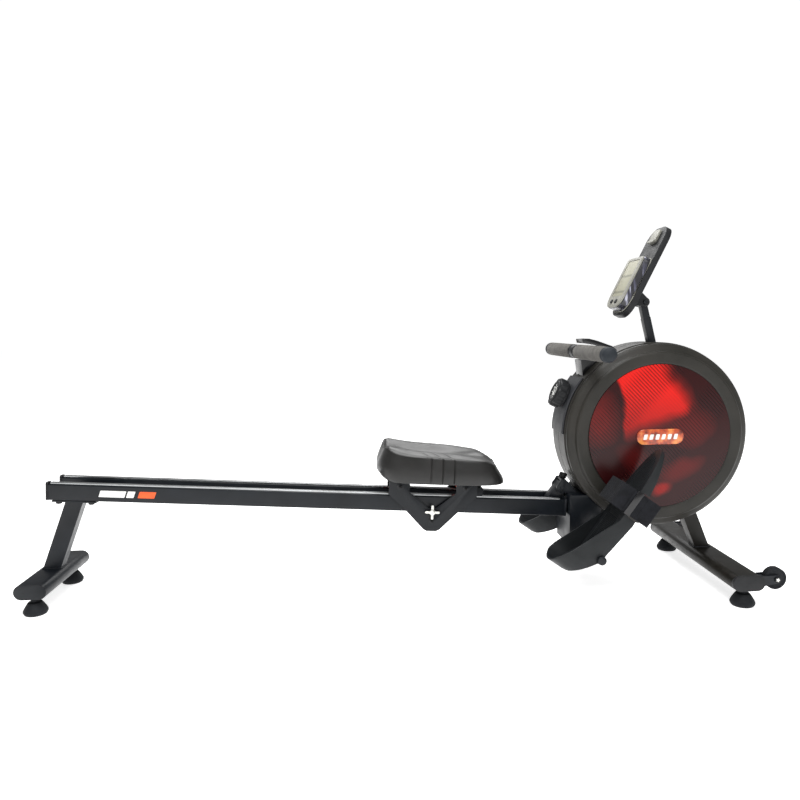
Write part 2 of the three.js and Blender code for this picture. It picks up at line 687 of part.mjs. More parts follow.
// Seat pad: the side outline carried across the width, with rounded long edges and a skirt round the carriage
function makeSeatPad() {
  const low = SEAT_BOTTOM - SEAT_SKIRT + SEAT_EDGE;
  const high = SEAT_BOTTOM + SEAT_THICKNESS;
  const shape = new THREE.Shape();
  shape.moveTo(-SEAT_REAR, low);
  shape.lineTo(SEAT_FRONT, low);
  shape.quadraticCurveTo(SEAT_FRONT + 6, low, SEAT_FRONT - 10, low + 16);
  shape.quadraticCurveTo(SEAT_FRONT - 26, high - 10, SEAT_FRONT - 54, high - 8);
  shape.lineTo(-SEAT_REAR + 2, high);
  shape.quadraticCurveTo(-SEAT_REAR - 20, high - 4, -SEAT_REAR - 23, low + 14);
  shape.quadraticCurveTo(-SEAT_REAR - 22, low + 4, -SEAT_REAR, low);
  const pad = new THREE.ExtrudeGeometry(shape, {
    depth: 2 * (SEAT_HALF - SEAT_EDGE),
    bevelThickness: SEAT_EDGE,
    bevelSize: SEAT_EDGE,
    bevelSegments: 3,
    curveSegments: 5,
  });
  pad.rotateX(Math.PI / 2).translate(0, SEAT_HALF - SEAT_EDGE, 0);
  const outer = CARRIAGE_PLATE_Y + CARRIAGE_PLATE;
  const recess = block(
    -CARRIAGE_EAR_HALF - PART_PLAY,
    CARRIAGE_EAR_HALF + PART_PLAY,
    -outer - PART_PLAY,
    outer + PART_PLAY,
    0,
    SEAT_BOTTOM,
  );
  place(seat, 'seat_pad', cut(pad, recess), BLACK_PLASTIC);
}

// ---------- front frame ----------
const postEnd = new THREE.Vector3(FRONT_BAR_X - 0.5, 0, BAR_CENTRE_Z + 6.5);
const postLean = new THREE.Vector3(Math.sin(POST_ANGLE), 0, -Math.cos(POST_ANGLE));

function postBar(width) {
  const top = postEnd.clone().addScaledVector(postLean, -POST_LENGTH);
  const bottom = postEnd.clone().addScaledVector(postLean, 40);
  return squareBar(top, bottom, width, width);
}

const brakePivot = new THREE.Vector3(
  DRUM_X + (FLYWHEEL_RADIUS + MAGNET_GAP + MAGNET_DEPTH / 2) * Math.cos(BRAKE_PIVOT_ANGLE),
  0,
  DRUM_Z + (FLYWHEEL_RADIUS + MAGNET_GAP + MAGNET_DEPTH / 2) * Math.sin(BRAKE_PIVOT_ANGLE),
);
const BRAKE_PIN_RADIUS = 4;
const BRAKE_NEAR_Y = FLYWHEEL_NEAR_Y - 1;
const BRAKE_FAR_Y = FLYWHEEL_NEAR_Y + FLYWHEEL_WIDTH + 1;

// Spine tube, axle plates, brake pin, front post and pedal rest, welded together
function makeMainFrame() {
  const spine = cut(
    block(BRACKET_FRONT_X + GAP, SPINE_FRONT_X, -SPINE_HALF, SPINE_HALF, SPINE_BOTTOM, SPINE_TOP),
    block(
      BRACKET_FRONT_X - 5,
      SPINE_FRONT_X - 60,
      -SPINE_HALF + FRAME_WALL,
      SPINE_HALF - FRAME_WALL,
      SPINE_BOTTOM + FRAME_WALL,
      SPINE_TOP - FRAME_WALL,
    ),
  );
  const post = cut(postBar(POST_SIZE), barTube(FRONT_BAR_X, FRONT_BAR_HALF, 2 * GAP));
  const lowerPiece = block(0, 2000, -100, 100, -200, BAR_CENTRE_Z + BAR_HEIGHT / 2 - 10);
  const plateOutline = polygon([
    [DRUM_X - 40, SPINE_BOTTOM + 6],
    [DRUM_X + 40, SPINE_BOTTOM + 6],
    ...arc(DRUM_X, DRUM_Z, 26, 0, Math.PI, 10),
  ]);
  const plateInner = SPINE_HALF - 1;
  const plateOuter = SPINE_HALF + AXLE_PLATE;
  const nearPlate = alongY(plateOutline, -plateOuter, -plateInner);
  const farPlate = alongY(plateOutline, plateInner, plateOuter);
  const brakeLug = alongY(
    polygon([
      [brakePivot.x - 16, SPINE_TOP - 10],
      [brakePivot.x + 26, SPINE_TOP - 10],
      ...arc(brakePivot.x, brakePivot.z, 10, 0, Math.PI, 6),
    ]),
    BRAKE_FAR_Y + 1,
    plateOuter,
  );
  const brakePin = rodY(brakePivot.x, brakePivot.z, BRAKE_PIN_RADIUS, BRAKE_NEAR_Y - 2, BRAKE_FAR_Y + 3);
  const rest = pedalPoint(REST_ALONG, REST_UP);
  const pedalRest = join(
    rodY(rest.x, rest.z, REST_RADIUS, -REST_HALF, REST_HALF),
    block(rest.x - REST_RADIUS, rest.x + REST_RADIUS, -20, 20, rest.z, SPINE_BOTTOM + 2),
  );
  const axleHole = rodY(DRUM_X, DRUM_Z, AXLE_RADIUS + FIT, -plateOuter - 1, plateOuter + 1, ROUND);
  const frame = cut(
    join(spine, cut(post, lowerPiece), nearPlate, farPlate, brakeLug, brakePin, pedalRest),
    axleHole,
  );
  place(model, 'main_frame', frame, BLACK_PAINT);
}

// Formed box that carries the rails, with the fork of the fold hinge on top
function makeFoldBracket() {
  const outline = roundedRectangle(BRACKET_REAR_X, BRACKET_BOTTOM - 20, BRACKET_FRONT_X, BRACKET_TOP, 9);
  const shell = alongY(outline, -BRACKET_HALF, BRACKET_HALF, 4);
  const trim = block(300, 700, -200, 200, 0, BRACKET_BOTTOM);
  const hollow = block(
    BRACKET_REAR_X + BRACKET_WALL,
    BRACKET_FRONT_X - BRACKET_WALL,
    -BRACKET_HALF + BRACKET_WALL,
    BRACKET_HALF - BRACKET_WALL,
    0,
    BRACKET_TOP - BRACKET_WALL,
  );
  const axleHole = rodY(
    PEDAL_AXLE_X,
    PEDAL_AXLE_Z,
    PEDAL_AXLE_RADIUS + GAP,
    -BRACKET_HALF - 1,
    BRACKET_HALF + 1,
  );
  const earInner = HINGE_EAR_HALF + 1;
  const earOuter = earInner + 8;
  const earOutline = polygon([
    [BRACKET_REAR_X + 8, BRACKET_TOP - 2],
    [BRACKET_REAR_X + 30, BRACKET_TOP - 2],
    ...arc(hinge.x, hinge.z, 22.5, KNOB_DIRECTION - 0.35, KNOB_DIRECTION + 0.35, 2),
    ...arc(hinge.x, hinge.z, HINGE_BOSS_RADIUS, 0.7 * Math.PI, 1.7 * Math.PI, 10),
  ]);
  const ears = [
    alongY(earOutline, -earOuter, -earInner),
    alongY(earOutline, earInner, earOuter),
  ];
  const pin = rodY(hinge.x, hinge.z, HINGE_PIN_RADIUS, -earOuter - 4, earOuter + 4);
  const screwBlock = squareBar(knobPoint(16.5), knobPoint(22), 14, 2 * earInner + 2);
  const screwHole = rodBetween(knobPoint(10), knobPoint(30), 4 + FIT);
  const sweep = rodY(hinge.x, hinge.z, HINGE_BOSS_RADIUS + 1, -HINGE_EAR_HALF - 0.6, HINGE_EAR_HALF + 0.6, ROUND);
  const body = cut(join(shell, ...ears), trim, hollow, axleHole, sweep);
  place(model, 'fold_bracket', cut(join(body, pin, screwBlock), screwHole), BLACK_PAINT);
}

// A point on the clamp knob's axis, by its distance from the hinge pin
function knobPoint(distance) {
  return new THREE.Vector3(Math.cos(KNOB_DIRECTION), 0, Math.sin(KNOB_DIRECTION))
    .multiplyScalar(distance)
    .add(hinge);
}

function makeFoldKnob() {
  const headStart = 23;
  const headEnd = 36;
  const head = rodBetween(knobPoint(headStart), knobPoint(headEnd), 9, SMALL_ROUND);
  const ribs = [];
  const ribCount = 8;
  for (let i = 0; i < ribCount; i += 1) {
    const turn = (i * 2 * Math.PI) / ribCount;
    const side = new THREE.Vector3(
      -Math.sin(KNOB_DIRECTION) * Math.cos(turn),
      Math.sin(turn),
      Math.cos(KNOB_DIRECTION) * Math.cos(turn),
    ).multiplyScalar(8.6);
    ribs.push(rodBetween(knobPoint(headStart).add(side), knobPoint(headEnd - 1).add(side), 2, 6));
  }
  const stem = rodBetween(knobPoint(HINGE_BOSS_RADIUS + GAP), knobPoint(headStart + 1), 4);
  place(model, 'fold_knob', join(head, stem, ...ribs), BLACK_PLASTIC);
}

function makePedalAxle() {
  const axle = join(
    rodY(PEDAL_AXLE_X, PEDAL_AXLE_Z, PEDAL_AXLE_RADIUS, -PEDAL_AXLE_HALF, PEDAL_AXLE_HALF),
    rodY(PEDAL_AXLE_X, PEDAL_AXLE_Z, PEDAL_AXLE_RADIUS + 2.5, -PEDAL_AXLE_HALF, -PEDAL_AXLE_HALF + 6),
    rodY(PEDAL_AXLE_X, PEDAL_AXLE_Z, PEDAL_AXLE_RADIUS + 2.5, PEDAL_AXLE_HALF - 6, PEDAL_AXLE_HALF),
  );
  place(model, 'pedal_axle', axle, BLACK_PAINT);
}

// ---------- drum ----------
// Casing half: rim, bevel and side ring in one shell, open over the red lens
function casingProfile() {
  const inner = DRUM_RADIUS - CASING_WALL;
  return [
    [inner, -GAP / 2],
    [inner, -DRUM_HALF + 1],
    [FACE_RADIUS - 1, -DRUM_FACE + CASING_WALL + 3],
    [LENS_RADIUS + GAP, -DRUM_FACE + CASING_WALL + 3],
    [LENS_RADIUS + GAP, -DRUM_FACE + 1],
    [LENS_RADIUS + 3, -DRUM_FACE],
    [FACE_RADIUS - 3, -DRUM_FACE],
    [FACE_RADIUS, -DRUM_FACE + 2],
    [FACE_RADIUS + 4, -DRUM_FACE + 10],
    [DRUM_RADIUS - 3, -DRUM_HALF - 5],
    [DRUM_RADIUS, -DRUM_HALF],
    [DRUM_RADIUS, -GAP / 2],
    [inner, -GAP / 2],
  ];
}

function strapSlot(growth) {
  const half = STRAP_WIDTH / 2 + growth;
  const start = HANDLE_X + CLIP_FRONT - 5;
  return block(start, GUIDE_X + 4, -half, half, HANDLE_Z - growth - 1, HANDLE_Z + growth + 1);
}

function makeCasing() {
  const whole = turned(casingProfile(), DRUM_X, DRUM_Z, DRUM_ROUND);
  const grow = PART_PLAY;
  const bracketCut = block(
    BRACKET_REAR_X - grow,
    BRACKET_FRONT_X + grow,
    -BRACKET_HALF - grow,
    BRACKET_HALF + grow,
    BRACKET_BOTTOM - 50,
    BRACKET_TOP + grow,
  );
  const spineCut = block(
    BRACKET_FRONT_X - BRACKET_HALF / 3,
    DRUM_X - SPINE_AHEAD / 2,
    -SPINE_HALF - grow,
    SPINE_HALF + grow,
    SPINE_BOTTOM - 40,
    SPINE_TOP + grow,
  );
  const knobStem = knobHole();
  const mastCut = mastBar(MAST_SIZE + 2 * grow, 12);
  const half = cut(whole, bracketCut, spineCut, postBar(POST_SIZE + 2 * grow), knobStem, mastCut, strapSlot(3));
  placePair(model, 'casing', half, BLACK_PLASTIC);

  const lensPoints = [];
  const steps = 4;
  for (let i = 0; i <= steps; i += 1) {
    const radius = (LENS_RADIUS * i) / steps;
    const rise = LENS_DOME * (1 - (i / steps) ** 2);
    lensPoints.push([radius, -DRUM_FACE + 0.5 - rise]);
  }
  const backing = -DRUM_FACE + LENS_THICKNESS;
  const lens = turned([[0, backing], [LENS_RADIUS, backing], ...lensPoints.reverse()], DRUM_X, DRUM_Z, DRUM_ROUND);
  placePair(model, 'lens', lens, RED_LENS);
}

// A point at a distance and an angle from the drum's middle
function drumPoint(radius, angle) {
  return new THREE.Vector3(DRUM_X + radius * Math.cos(angle), 0, DRUM_Z + radius * Math.sin(angle));
}

// Through the rim and the cover, for the tension knob's stem
function knobHole() {
  const start = drumPoint(DRUM_RADIUS - 30, KNOB_ANGLE);
  const end = drumPoint(DRUM_RADIUS + 30, KNOB_ANGLE);
  return rodBetween(start, end, KNOB_STEM_RADIUS + 1);
}

function makeRiderCover() {
  const inner = DRUM_RADIUS + GAP;
  const outer = DRUM_RADIUS + COVER_THICKNESS;
  const steps = 10;
  const outline = polygon([
    ...arc(DRUM_X, DRUM_Z, inner, COVER_START, COVER_END, steps),
    ...arc(DRUM_X, DRUM_Z, outer, COVER_END - 0.03, COVER_START, steps),
  ]);
  place(model, 'rider_cover', cut(alongY(outline, -COVER_HALF, COVER_HALF), knobHole()), BLACK_PLASTIC);
}

// Two-jawed cradle that the handle's clip parks in
function makeCradle() {
  // Each point by its height above the rim, in mm, and its angle round the drum, in degrees
  const jaws = [
    [14.3, 114.7],
    [44.4, 120.7],
    [59.9, 123.6],
    [69.5, 126.6],
    [60, 127.4],
    [45, 124.2],
    [29, 121],
    [19.9, 119.7],
    [8.4, 120.2],
    [4.2, 125.8],
    [31, 133.9],
  ].map(([height, angle]) => {
    const point = drumPoint(DRUM_RADIUS + height, THREE.MathUtils.degToRad(angle));
    return [point.x, point.z];
  });
  const footStart = THREE.MathUtils.degToRad(139.8);
  const footEnd = THREE.MathUtils.degToRad(113);
  const foot = arc(DRUM_X, DRUM_Z, DRUM_RADIUS + 0.8, footStart, footEnd, 6);
  const cradle = alongY(polygon([...foot, ...jaws]), -CRADLE_HALF, CRADLE_HALF);
  place(model, 'handle_cradle', cut(cradle, strapSlot(3)), BLACK_PLASTIC);
}

function makeTensionKnob() {
  const base = drumPoint(DRUM_RADIUS + COVER_THICKNESS + 1, KNOB_ANGLE);
  const axis = new THREE.Vector3(Math.cos(KNOB_ANGLE), 0, Math.sin(KNOB_ANGLE));
  const knob = new THREE.Group();
  knob.position.copy(base);
  knob.quaternion.setFromUnitVectors(new THREE.Vector3(0, 0, 1), axis);
  model.add(knob);

  const scallop = new THREE.Shape();
  const steps = 4 * KNOB_LOBES;
  for (let i = 0; i < steps; i += 1) {
    const angle = (i * 2 * Math.PI) / steps;
    const radius = KNOB_RADIUS - 1.2 + 1.2 * Math.cos(KNOB_LOBES * angle);
    const point = [radius * Math.cos(angle), radius * Math.sin(angle)];
    if (i === 0) scallop.moveTo(...point);
    else scallop.lineTo(...point);
  }
  const grip = alongZ(scallop, 5, KNOB_DEPTH - 3);
  const skirt = rodZ(0, 0, KNOB_RADIUS - 4, 0, 6, ROUND);
  const face = rodZ(0, 0, KNOB_RADIUS - 6, KNOB_DEPTH - 4, KNOB_DEPTH, ROUND);
  const stem = rodZ(0, 0, KNOB_STEM_RADIUS, -26, 1);
  place(knob, 'tension_knob', join(grip, skirt, face, stem), BLACK_PLASTIC);
}

// ---------- flywheel, reel and brake ----------
function makeDrive() {
  const plateOuter = SPINE_HALF + AXLE_PLATE;
  const axle = rodY(DRUM_X, DRUM_Z, AXLE_RADIUS, -plateOuter - 8, plateOuter + 8, ROUND);
  place(model, 'flywheel_axle', axle, ZINC);

  const bore = AXLE_RADIUS + FIT;
  const near = FLYWHEEL_NEAR_Y;
  const far = FLYWHEEL_NEAR_Y + FLYWHEEL_WIDTH;
  const flywheel = turned([
    [bore, near],
    [FLYWHEEL_RADIUS, near],
    [FLYWHEEL_RADIUS, far],
    [bore, far],
    [bore, near],
  ], DRUM_X, DRUM_Z, DRUM_ROUND);
  place(model, 'flywheel', flywheel, CAST_IRON);

  const flange = REEL_RADIUS + 8;
  const reel = turned([
    [bore, -REEL_HALF],
    [flange, -REEL_HALF],
    [flange, -REEL_HALF + 1.5],
    [REEL_RADIUS, -REEL_HALF + 1.5],
    [REEL_RADIUS, REEL_HALF - 1.5],
    [flange, REEL_HALF - 1.5],
    [flange, REEL_HALF],
    [bore, REEL_HALF],
    [bore, -REEL_HALF],
  ], DRUM_X, DRUM_Z, ROUND);
  place(model, 'strap_reel', reel, BLACK_PLASTIC);

  const inner = FLYWHEEL_RADIUS + MAGNET_GAP;
  const outer = inner + MAGNET_DEPTH;
  const pivotAngle = BRAKE_PIVOT_ANGLE;
  const shoe = polygon([
    ...arc(DRUM_X, DRUM_Z, inner, pivotAngle - BRAKE_SPAN, pivotAngle, 12),
    ...arc(DRUM_X, DRUM_Z, outer, pivotAngle, pivotAngle - BRAKE_SPAN, 12),
  ]);
  const eye = rodY(brakePivot.x, brakePivot.z, 8, BRAKE_NEAR_Y, BRAKE_FAR_Y, SMALL_ROUND);
  const hole = rodY(brakePivot.x, brakePivot.z, BRAKE_PIN_RADIUS + FIT, BRAKE_NEAR_Y - 3, BRAKE_FAR_Y + 3);
  const arm = cut(join(alongY(shoe, BRAKE_NEAR_Y, BRAKE_FAR_Y), eye), hole);
  place(model, 'brake_arm', arm, ZINC);
}

// ---------- handle and strap ----------
const handle = new THREE.Group();
handle.position.set(HANDLE_X, 0, HANDLE_Z);
model.add(handle);

const CLIP_FRONT = 40; // front of the handle's strap clip, ahead of the bar

function makeHandle() {
  const tubeHalf = HANDLE_HALF - 12;
  const bar = join(
    rodY(0, 0, HANDLE_TUBE_RADIUS, -tubeHalf, tubeHalf, ROUND),
    rodY(0, 0, GRIP_RADIUS - 1, -GRIP_START + 1, GRIP_START - 1, ROUND),
    block(0, CLIP_FRONT, -14, 14, -9, 11),
  );
  place(handle, 'handle_bar', bar, BLACK_PLASTIC);

  const bore = HANDLE_TUBE_RADIUS + GAP;
  const grip = turned([
    [bore, -GRIP_END],
    [GRIP_RADIUS - 1, -GRIP_END],
    [GRIP_RADIUS, -GRIP_END + 1],
    [GRIP_RADIUS, -GRIP_START - 1],
    [GRIP_RADIUS - 1, -GRIP_START],
    [bore, -GRIP_START],
    [bore, -GRIP_END],
  ], 0, 0, ROUND);
  placePair(handle, 'grip', grip, GREY_FOAM);

  const dome = [];
  const domeSteps = 3;
  const domeRadius = GRIP_RADIUS + 0.5;
  for (let i = 0; i <= domeSteps; i += 1) {
    const angle = (i * Math.PI) / 2 / domeSteps;
    dome.push([domeRadius * Math.sin(angle), -HANDLE_HALF + 14 - 14 * Math.cos(angle)]);
  }
  const cap = turned([
    ...dome,
    [domeRadius, -GRIP_END - GAP],
    [bore, -GRIP_END - GAP],
    [bore, -tubeHalf - GAP],
    [0, -tubeHalf - GAP],
  ], 0, 0, ROUND);
  placePair(handle, 'handle_cap', cap, DARK_RUBBER);
}

function makeStraps() {
  const half = STRAP_WIDTH / 2;
  const pull = block(
    HANDLE_X + CLIP_FRONT + GAP,
    GUIDE_X,
    -half,
    half,
    HANDLE_Z - STRAP_THICKNESS / 2,
    HANDLE_Z + STRAP_THICKNESS / 2,
  );
  place(model, 'pull_strap', pull, WEBBING);

  // Guide roller under the strap, on its own bolt from the casing's inside
  const guideZ = HANDLE_Z - STRAP_THICKNESS / 2 - GAP - GUIDE_RADIUS;
  const guide = turned([
    [0, -REEL_HALF - 6],
    [4, -REEL_HALF - 6],
    [4, -REEL_HALF],
    [GUIDE_RADIUS, -REEL_HALF],
    [GUIDE_RADIUS, REEL_HALF],
    [4, REEL_HALF],
    [4, REEL_HALF + 6],
    [0, REEL_HALF + 6],
  ], GUIDE_X, guideZ, SMALL_ROUND + 8);
  place(model, 'guide_roller', guide, BLACK_PLASTIC);

  // Strap inside the drum, from the guide roller down to the reel
  const guideSide = GUIDE_X + GUIDE_RADIUS + GAP;
  const reelTop = DRUM_Z + REEL_RADIUS + GAP;
  const start = new THREE.Vector3(guideSide + 1, 0, guideZ);
  const reelSide = DRUM_X - REEL_RADIUS - GAP - STRAP_THICKNESS / 2;
  const end = new THREE.Vector3(reelSide, 0, reelTop - REEL_RADIUS);
  place(model, 'drive_strap', squareBar(start, end, STRAP_THICKNESS, STRAP_WIDTH), WEBBING);
}

// ---------- console ----------
function mastBar(size, extra = 0) {
  const along = new THREE.Vector3().subVectors(CONSOLE_PIVOT, MAST_FOOT).normalize();
  const start = MAST_FOOT.clone().addScaledVector(along, -extra);
  return squareBar(start, CONSOLE_PIVOT, size, size);
}

function makeMast() {
  const eyeHalf = 14;
  const sweep = rodY(CONSOLE_PIVOT.x, CONSOLE_PIVOT.z, CONSOLE_EYE_RADIUS + 30, -60, 60);
  const neck = squareBar(
    MAST_FOOT.clone().lerp(CONSOLE_PIVOT, 0.5),
    CONSOLE_PIVOT,
    MAST_SIZE - 2,
    MAST_SIZE,
  );
  const mast = join(
    cut(mastBar(MAST_SIZE), sweep),
    neck,
    rodY(CONSOLE_PIVOT.x, CONSOLE_PIVOT.z, CONSOLE_EYE_RADIUS, -eyeHalf, eyeHalf, ROUND),
    rodY(CONSOLE_PIVOT.x, CONSOLE_PIVOT.z, CONSOLE_PIN_RADIUS, -eyeHalf - 10, eyeHalf + 10),
  );
  place(model, 'console_mast', mast, BLACK_PAINT);
}

const panel = new THREE.Group();
panel.position.copy(CONSOLE_PIVOT);
panel.rotation.y = CONSOLE_TILT;
model.add(panel);

// Outline across the console, in y and z
function panelOutline(half, bottom, top, bottomRadius, topRadius) {
  const shape = new THREE.Shape();
  shape.absarc(half - bottomRadius, bottom + bottomRadius, bottomRadius, -Math.PI / 2, 0);
  shape.absarc(half - topRadius, top - topRadius, topRadius, 0, Math.PI / 2);
  shape.absarc(-half + topRadius, top - topRadius, topRadius, Math.PI / 2, Math.PI);
  shape.absarc(-half + bottomRadius, bottom + bottomRadius, bottomRadius, Math.PI, 1.5 * Math.PI);
  return shape;
}

function makeConsole() {
  const backX = -CONSOLE_OFFSET;
  const frontX = backX - PLATE_THICKNESS;
  const plate = alongX(panelOutline(PLATE_HALF, PLATE_BOTTOM, PLATE_TOP, 40, 38), frontX, backX);
  const lugOutline = polygon([
    [backX - 2, -22],
    ...arc(0, 0, CONSOLE_EYE_RADIUS, -Math.PI / 2, Math.PI / 2, 10),
    [backX - 2, 22],
  ]);
  const lugInner = 14.6;
  const lugs = [
    alongY(lugOutline, -lugInner - 6, -lugInner),
    alongY(lugOutline, lugInner, lugInner + 6),
  ];
  const pinHole = rodY(0, 0, CONSOLE_PIN_RADIUS + FIT, -lugInner - 8, lugInner + 8);
  place(panel, 'console_plate', cut(join(plate, ...lugs), pinHole), BLACK_PLASTIC);

  const meterBack = frontX - GAP;
  const meterFront = meterBack - METER_DEPTH;
  const meterOutline = panelOutline(METER_HALF, METER_BOTTOM, METER_TOP, 30, 10);
  const buttonPocket = 8;
  const pockets = (depth) => [-1, 1].map((side) => alongX(
    new THREE.Shape().absarc(side * BUTTON_Y, BUTTON_Z, BUTTON_RADIUS + FIT, 0, 2 * Math.PI),
    meterFront - BEZEL_THICKNESS - 1,
    meterFront + depth,
    6,
  ));
  const meter = cut(alongX(meterOutline, meterFront, meterBack), ...pockets(buttonPocket));
  place(panel, 'console_meter', meter, BLACK_PLASTIC);

  const bezelBack = meterFront - GAP;
  const bezelFront = bezelBack - BEZEL_THICKNESS;
  const bezelOutline = panelOutline(METER_HALF - 1, METER_BOTTOM + 1, METER_TOP - 1, 29, 9);
  const bezel = cut(alongX(bezelOutline, bezelFront, bezelBack), ...pockets(1));
  place(panel, 'console_bezel', bezel, SILVER_PLASTIC);

  const names = { [-1]: 'button_mode', 1: 'button_reset' };
  for (const side of [-1, 1]) {
    const outline = new THREE.Shape().absarc(side * BUTTON_Y, BUTTON_Z, BUTTON_RADIUS, 0, 2 * Math.PI);
    place(panel, names[side], alongX(outline, bezelFront - 2.5, meterFront + 4, 6), BLACK_PLASTIC);
  }

  const clipOutline = panelOutline(22, PLATE_TOP - 46, PLATE_TOP - 10, 8, 8);
  const hook = block(frontX - 9, frontX - 5, -20, 20, PLATE_TOP - 46, PLATE_TOP - 40);
  const clip = join(alongX(clipOutline, frontX - 6, frontX - GAP), hook);
  place(panel, 'phone_clip', clip, SILVER_PLASTIC);
}

// ---------- pedals ----------
// Seen from above: a round heel and a toe that narrows to a round tip
function soleOutline(inset) {
  const half = PEDAL_HALF - inset;
  const heel = inset - 4;
  const toe = PEDAL_LENGTH - inset;
  const shape = new THREE.Shape();
  shape.absarc(heel + half, 0, half, Math.PI / 2, 1.5 * Math.PI);
  shape.lineTo(210, -half);
  shape.bezierCurveTo(270, -half + 2, toe, -half + 18, toe, 0);
  shape.bezierCurveTo(toe, half - 18, 270, half - 2, 210, half);
  return shape;
}

const BED = -25; // height of the foot bed above the heel corner, across the pedal's pitch

function makePedalBody() {
  const side = polygon([
    [-6, 8],
    [2, -6],
    [62, -44],
    [174, -57],
    [290, -46],
    [PEDAL_LENGTH + 2, -32],
    [PEDAL_LENGTH + 2, BED],
    [169, BED + 1],
    [60, 20],
    [14, 41],
    [-6, 44],
  ]);
  const envelope = alongY(side, -PEDAL_HALF - 1, PEDAL_HALF + 1);
  const foot = common(alongZ(soleOutline(0), -90, 60, 10), envelope);
  const bedLine = polygon([[-20, 12], [8, 8], [62, BED], [170, BED], [170, 80], [-20, 80]]);
  const cup = common(alongZ(soleOutline(PEDAL_WALL), -90, 90, 10), alongY(bedLine, -80, 80));
  const under = polygon([[84, BED - 8], [340, BED - 8], [340, -90], [84, -90]]);
  const recess = common(alongZ(soleOutline(PEDAL_WALL), -90, 90, 10), alongY(under, -80, 80));
  const lug = (fromY, toY) => join(
    rodY(axleAlong, axleUp, 15, fromY, toY, ROUND),
    block(axleAlong - 15, axleAlong + 15, fromY, toY, axleUp, -30),
  );
  const body = join(cut(foot, cup, recess), lug(-34, -20), lug(20, 34));
  const hole = rodY(axleAlong, axleUp, PEDAL_AXLE_RADIUS + FIT, -80, 80);
  const strapRecess = polygon([[186, -90], [252, -90], [252, BED - 8], [186, BED - 8]]);
  return cut(body, hole, cut(alongY(strapRecess, -80, 80), block(100, 300, -40, 40, -100, 100)));
}

// A point given along a pedal from its heel corner and up from its sole, in the model's frame
function pedalPoint(along, up) {
  return new THREE.Vector3(
    PEDAL_HEEL.x + along * Math.cos(PEDAL_PITCH) - up * Math.sin(PEDAL_PITCH),
    0,
    PEDAL_HEEL.z + along * Math.sin(PEDAL_PITCH) + up * Math.cos(PEDAL_PITCH),
  );
}

// The axle, seen from the pedal's heel corner
const axleOffset = new THREE.Vector3(PEDAL_AXLE_X - PEDAL_HEEL.x, 0, PEDAL_AXLE_Z - PEDAL_HEEL.z);
const axleAlong = axleOffset.x * Math.cos(PEDAL_PITCH) + axleOffset.z * Math.sin(PEDAL_PITCH);
const axleUp = -axleOffset.x * Math.sin(PEDAL_PITCH) + axleOffset.z * Math.cos(PEDAL_PITCH);

// Wide webbing strap: a band that arches over the foot bed and down both sides
function makePedalStrap() {
  const inner = PEDAL_HALF + 3;
  const outer = inner + 3;
  const top = 14;
  const bottom = -52;
  const outline = new THREE.Shape();
  outline.moveTo(-outer, bottom);
  outline.lineTo(-inner, bottom);
  outline.lineTo(-inner, top - 13);
  outline.quadraticCurveTo(-inner, top - 3, -inner + 10, top - 3);
  outline.lineTo(inner - 10, top - 3);
  outline.quadraticCurveTo(inner, top - 3, inner, top - 13);
  outline.lineTo(inner, bottom);
  outline.lineTo(outer, bottom);
  outline.lineTo(outer, top - 13);
  outline.quadraticCurveTo(outer, top, outer - 13, top);
  outline.lineTo(-outer + 13, top);
  outline.quadraticCurveTo(-outer, top, -outer, top - 13);
  return alongX(outline, 190, 248, 5);
}

function makePedals() {
  const body = makePedalBody();
  const strap = makePedalStrap();
  for (const [side, sign] of [['near', -1], ['far', 1]]) {
    const pedal = new THREE.Group();
    pedal.position.set(PEDAL_HEEL.x, sign * PEDAL_HEEL.y, PEDAL_HEEL.z);
    pedal.rotation.y = -PEDAL_PITCH;
    model.add(pedal);
    place(pedal, `pedal_${side}`, body, BLACK_PLASTIC);
    place(pedal, `pedal_strap_${side}`, strap, WEBBING);
  }
}

// ---------- the machine ----------
makeFrontStabiliser();
makeFeet();
makeTransportWheels();
makeRails();
makeRailHinge();
makeFrontStop();
makeRearLeg();
makeCarriage();
makeRollers();
makeSeatScrew();
makeSeatPad();
makeMainFrame();
makeFoldBracket();
makeFoldKnob();
makePedalAxle();
makeCasing();
makeRiderCover();
makeCradle();
makeTensionKnob();
makeDrive();
makeHandle();
makeStraps();
makeMast();
makeConsole();
makePedals();

export default model;
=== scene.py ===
"""A folding magnetic rowing machine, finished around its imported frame.

+X is the drum end and +Z is up. Shapes are drawn in millimetres in the frame of the group they belong to, and
each frame's matrix takes them to the model's metres.
"""
import json
import math

import bmesh
import bpy
from mathutils import Matrix, Vector


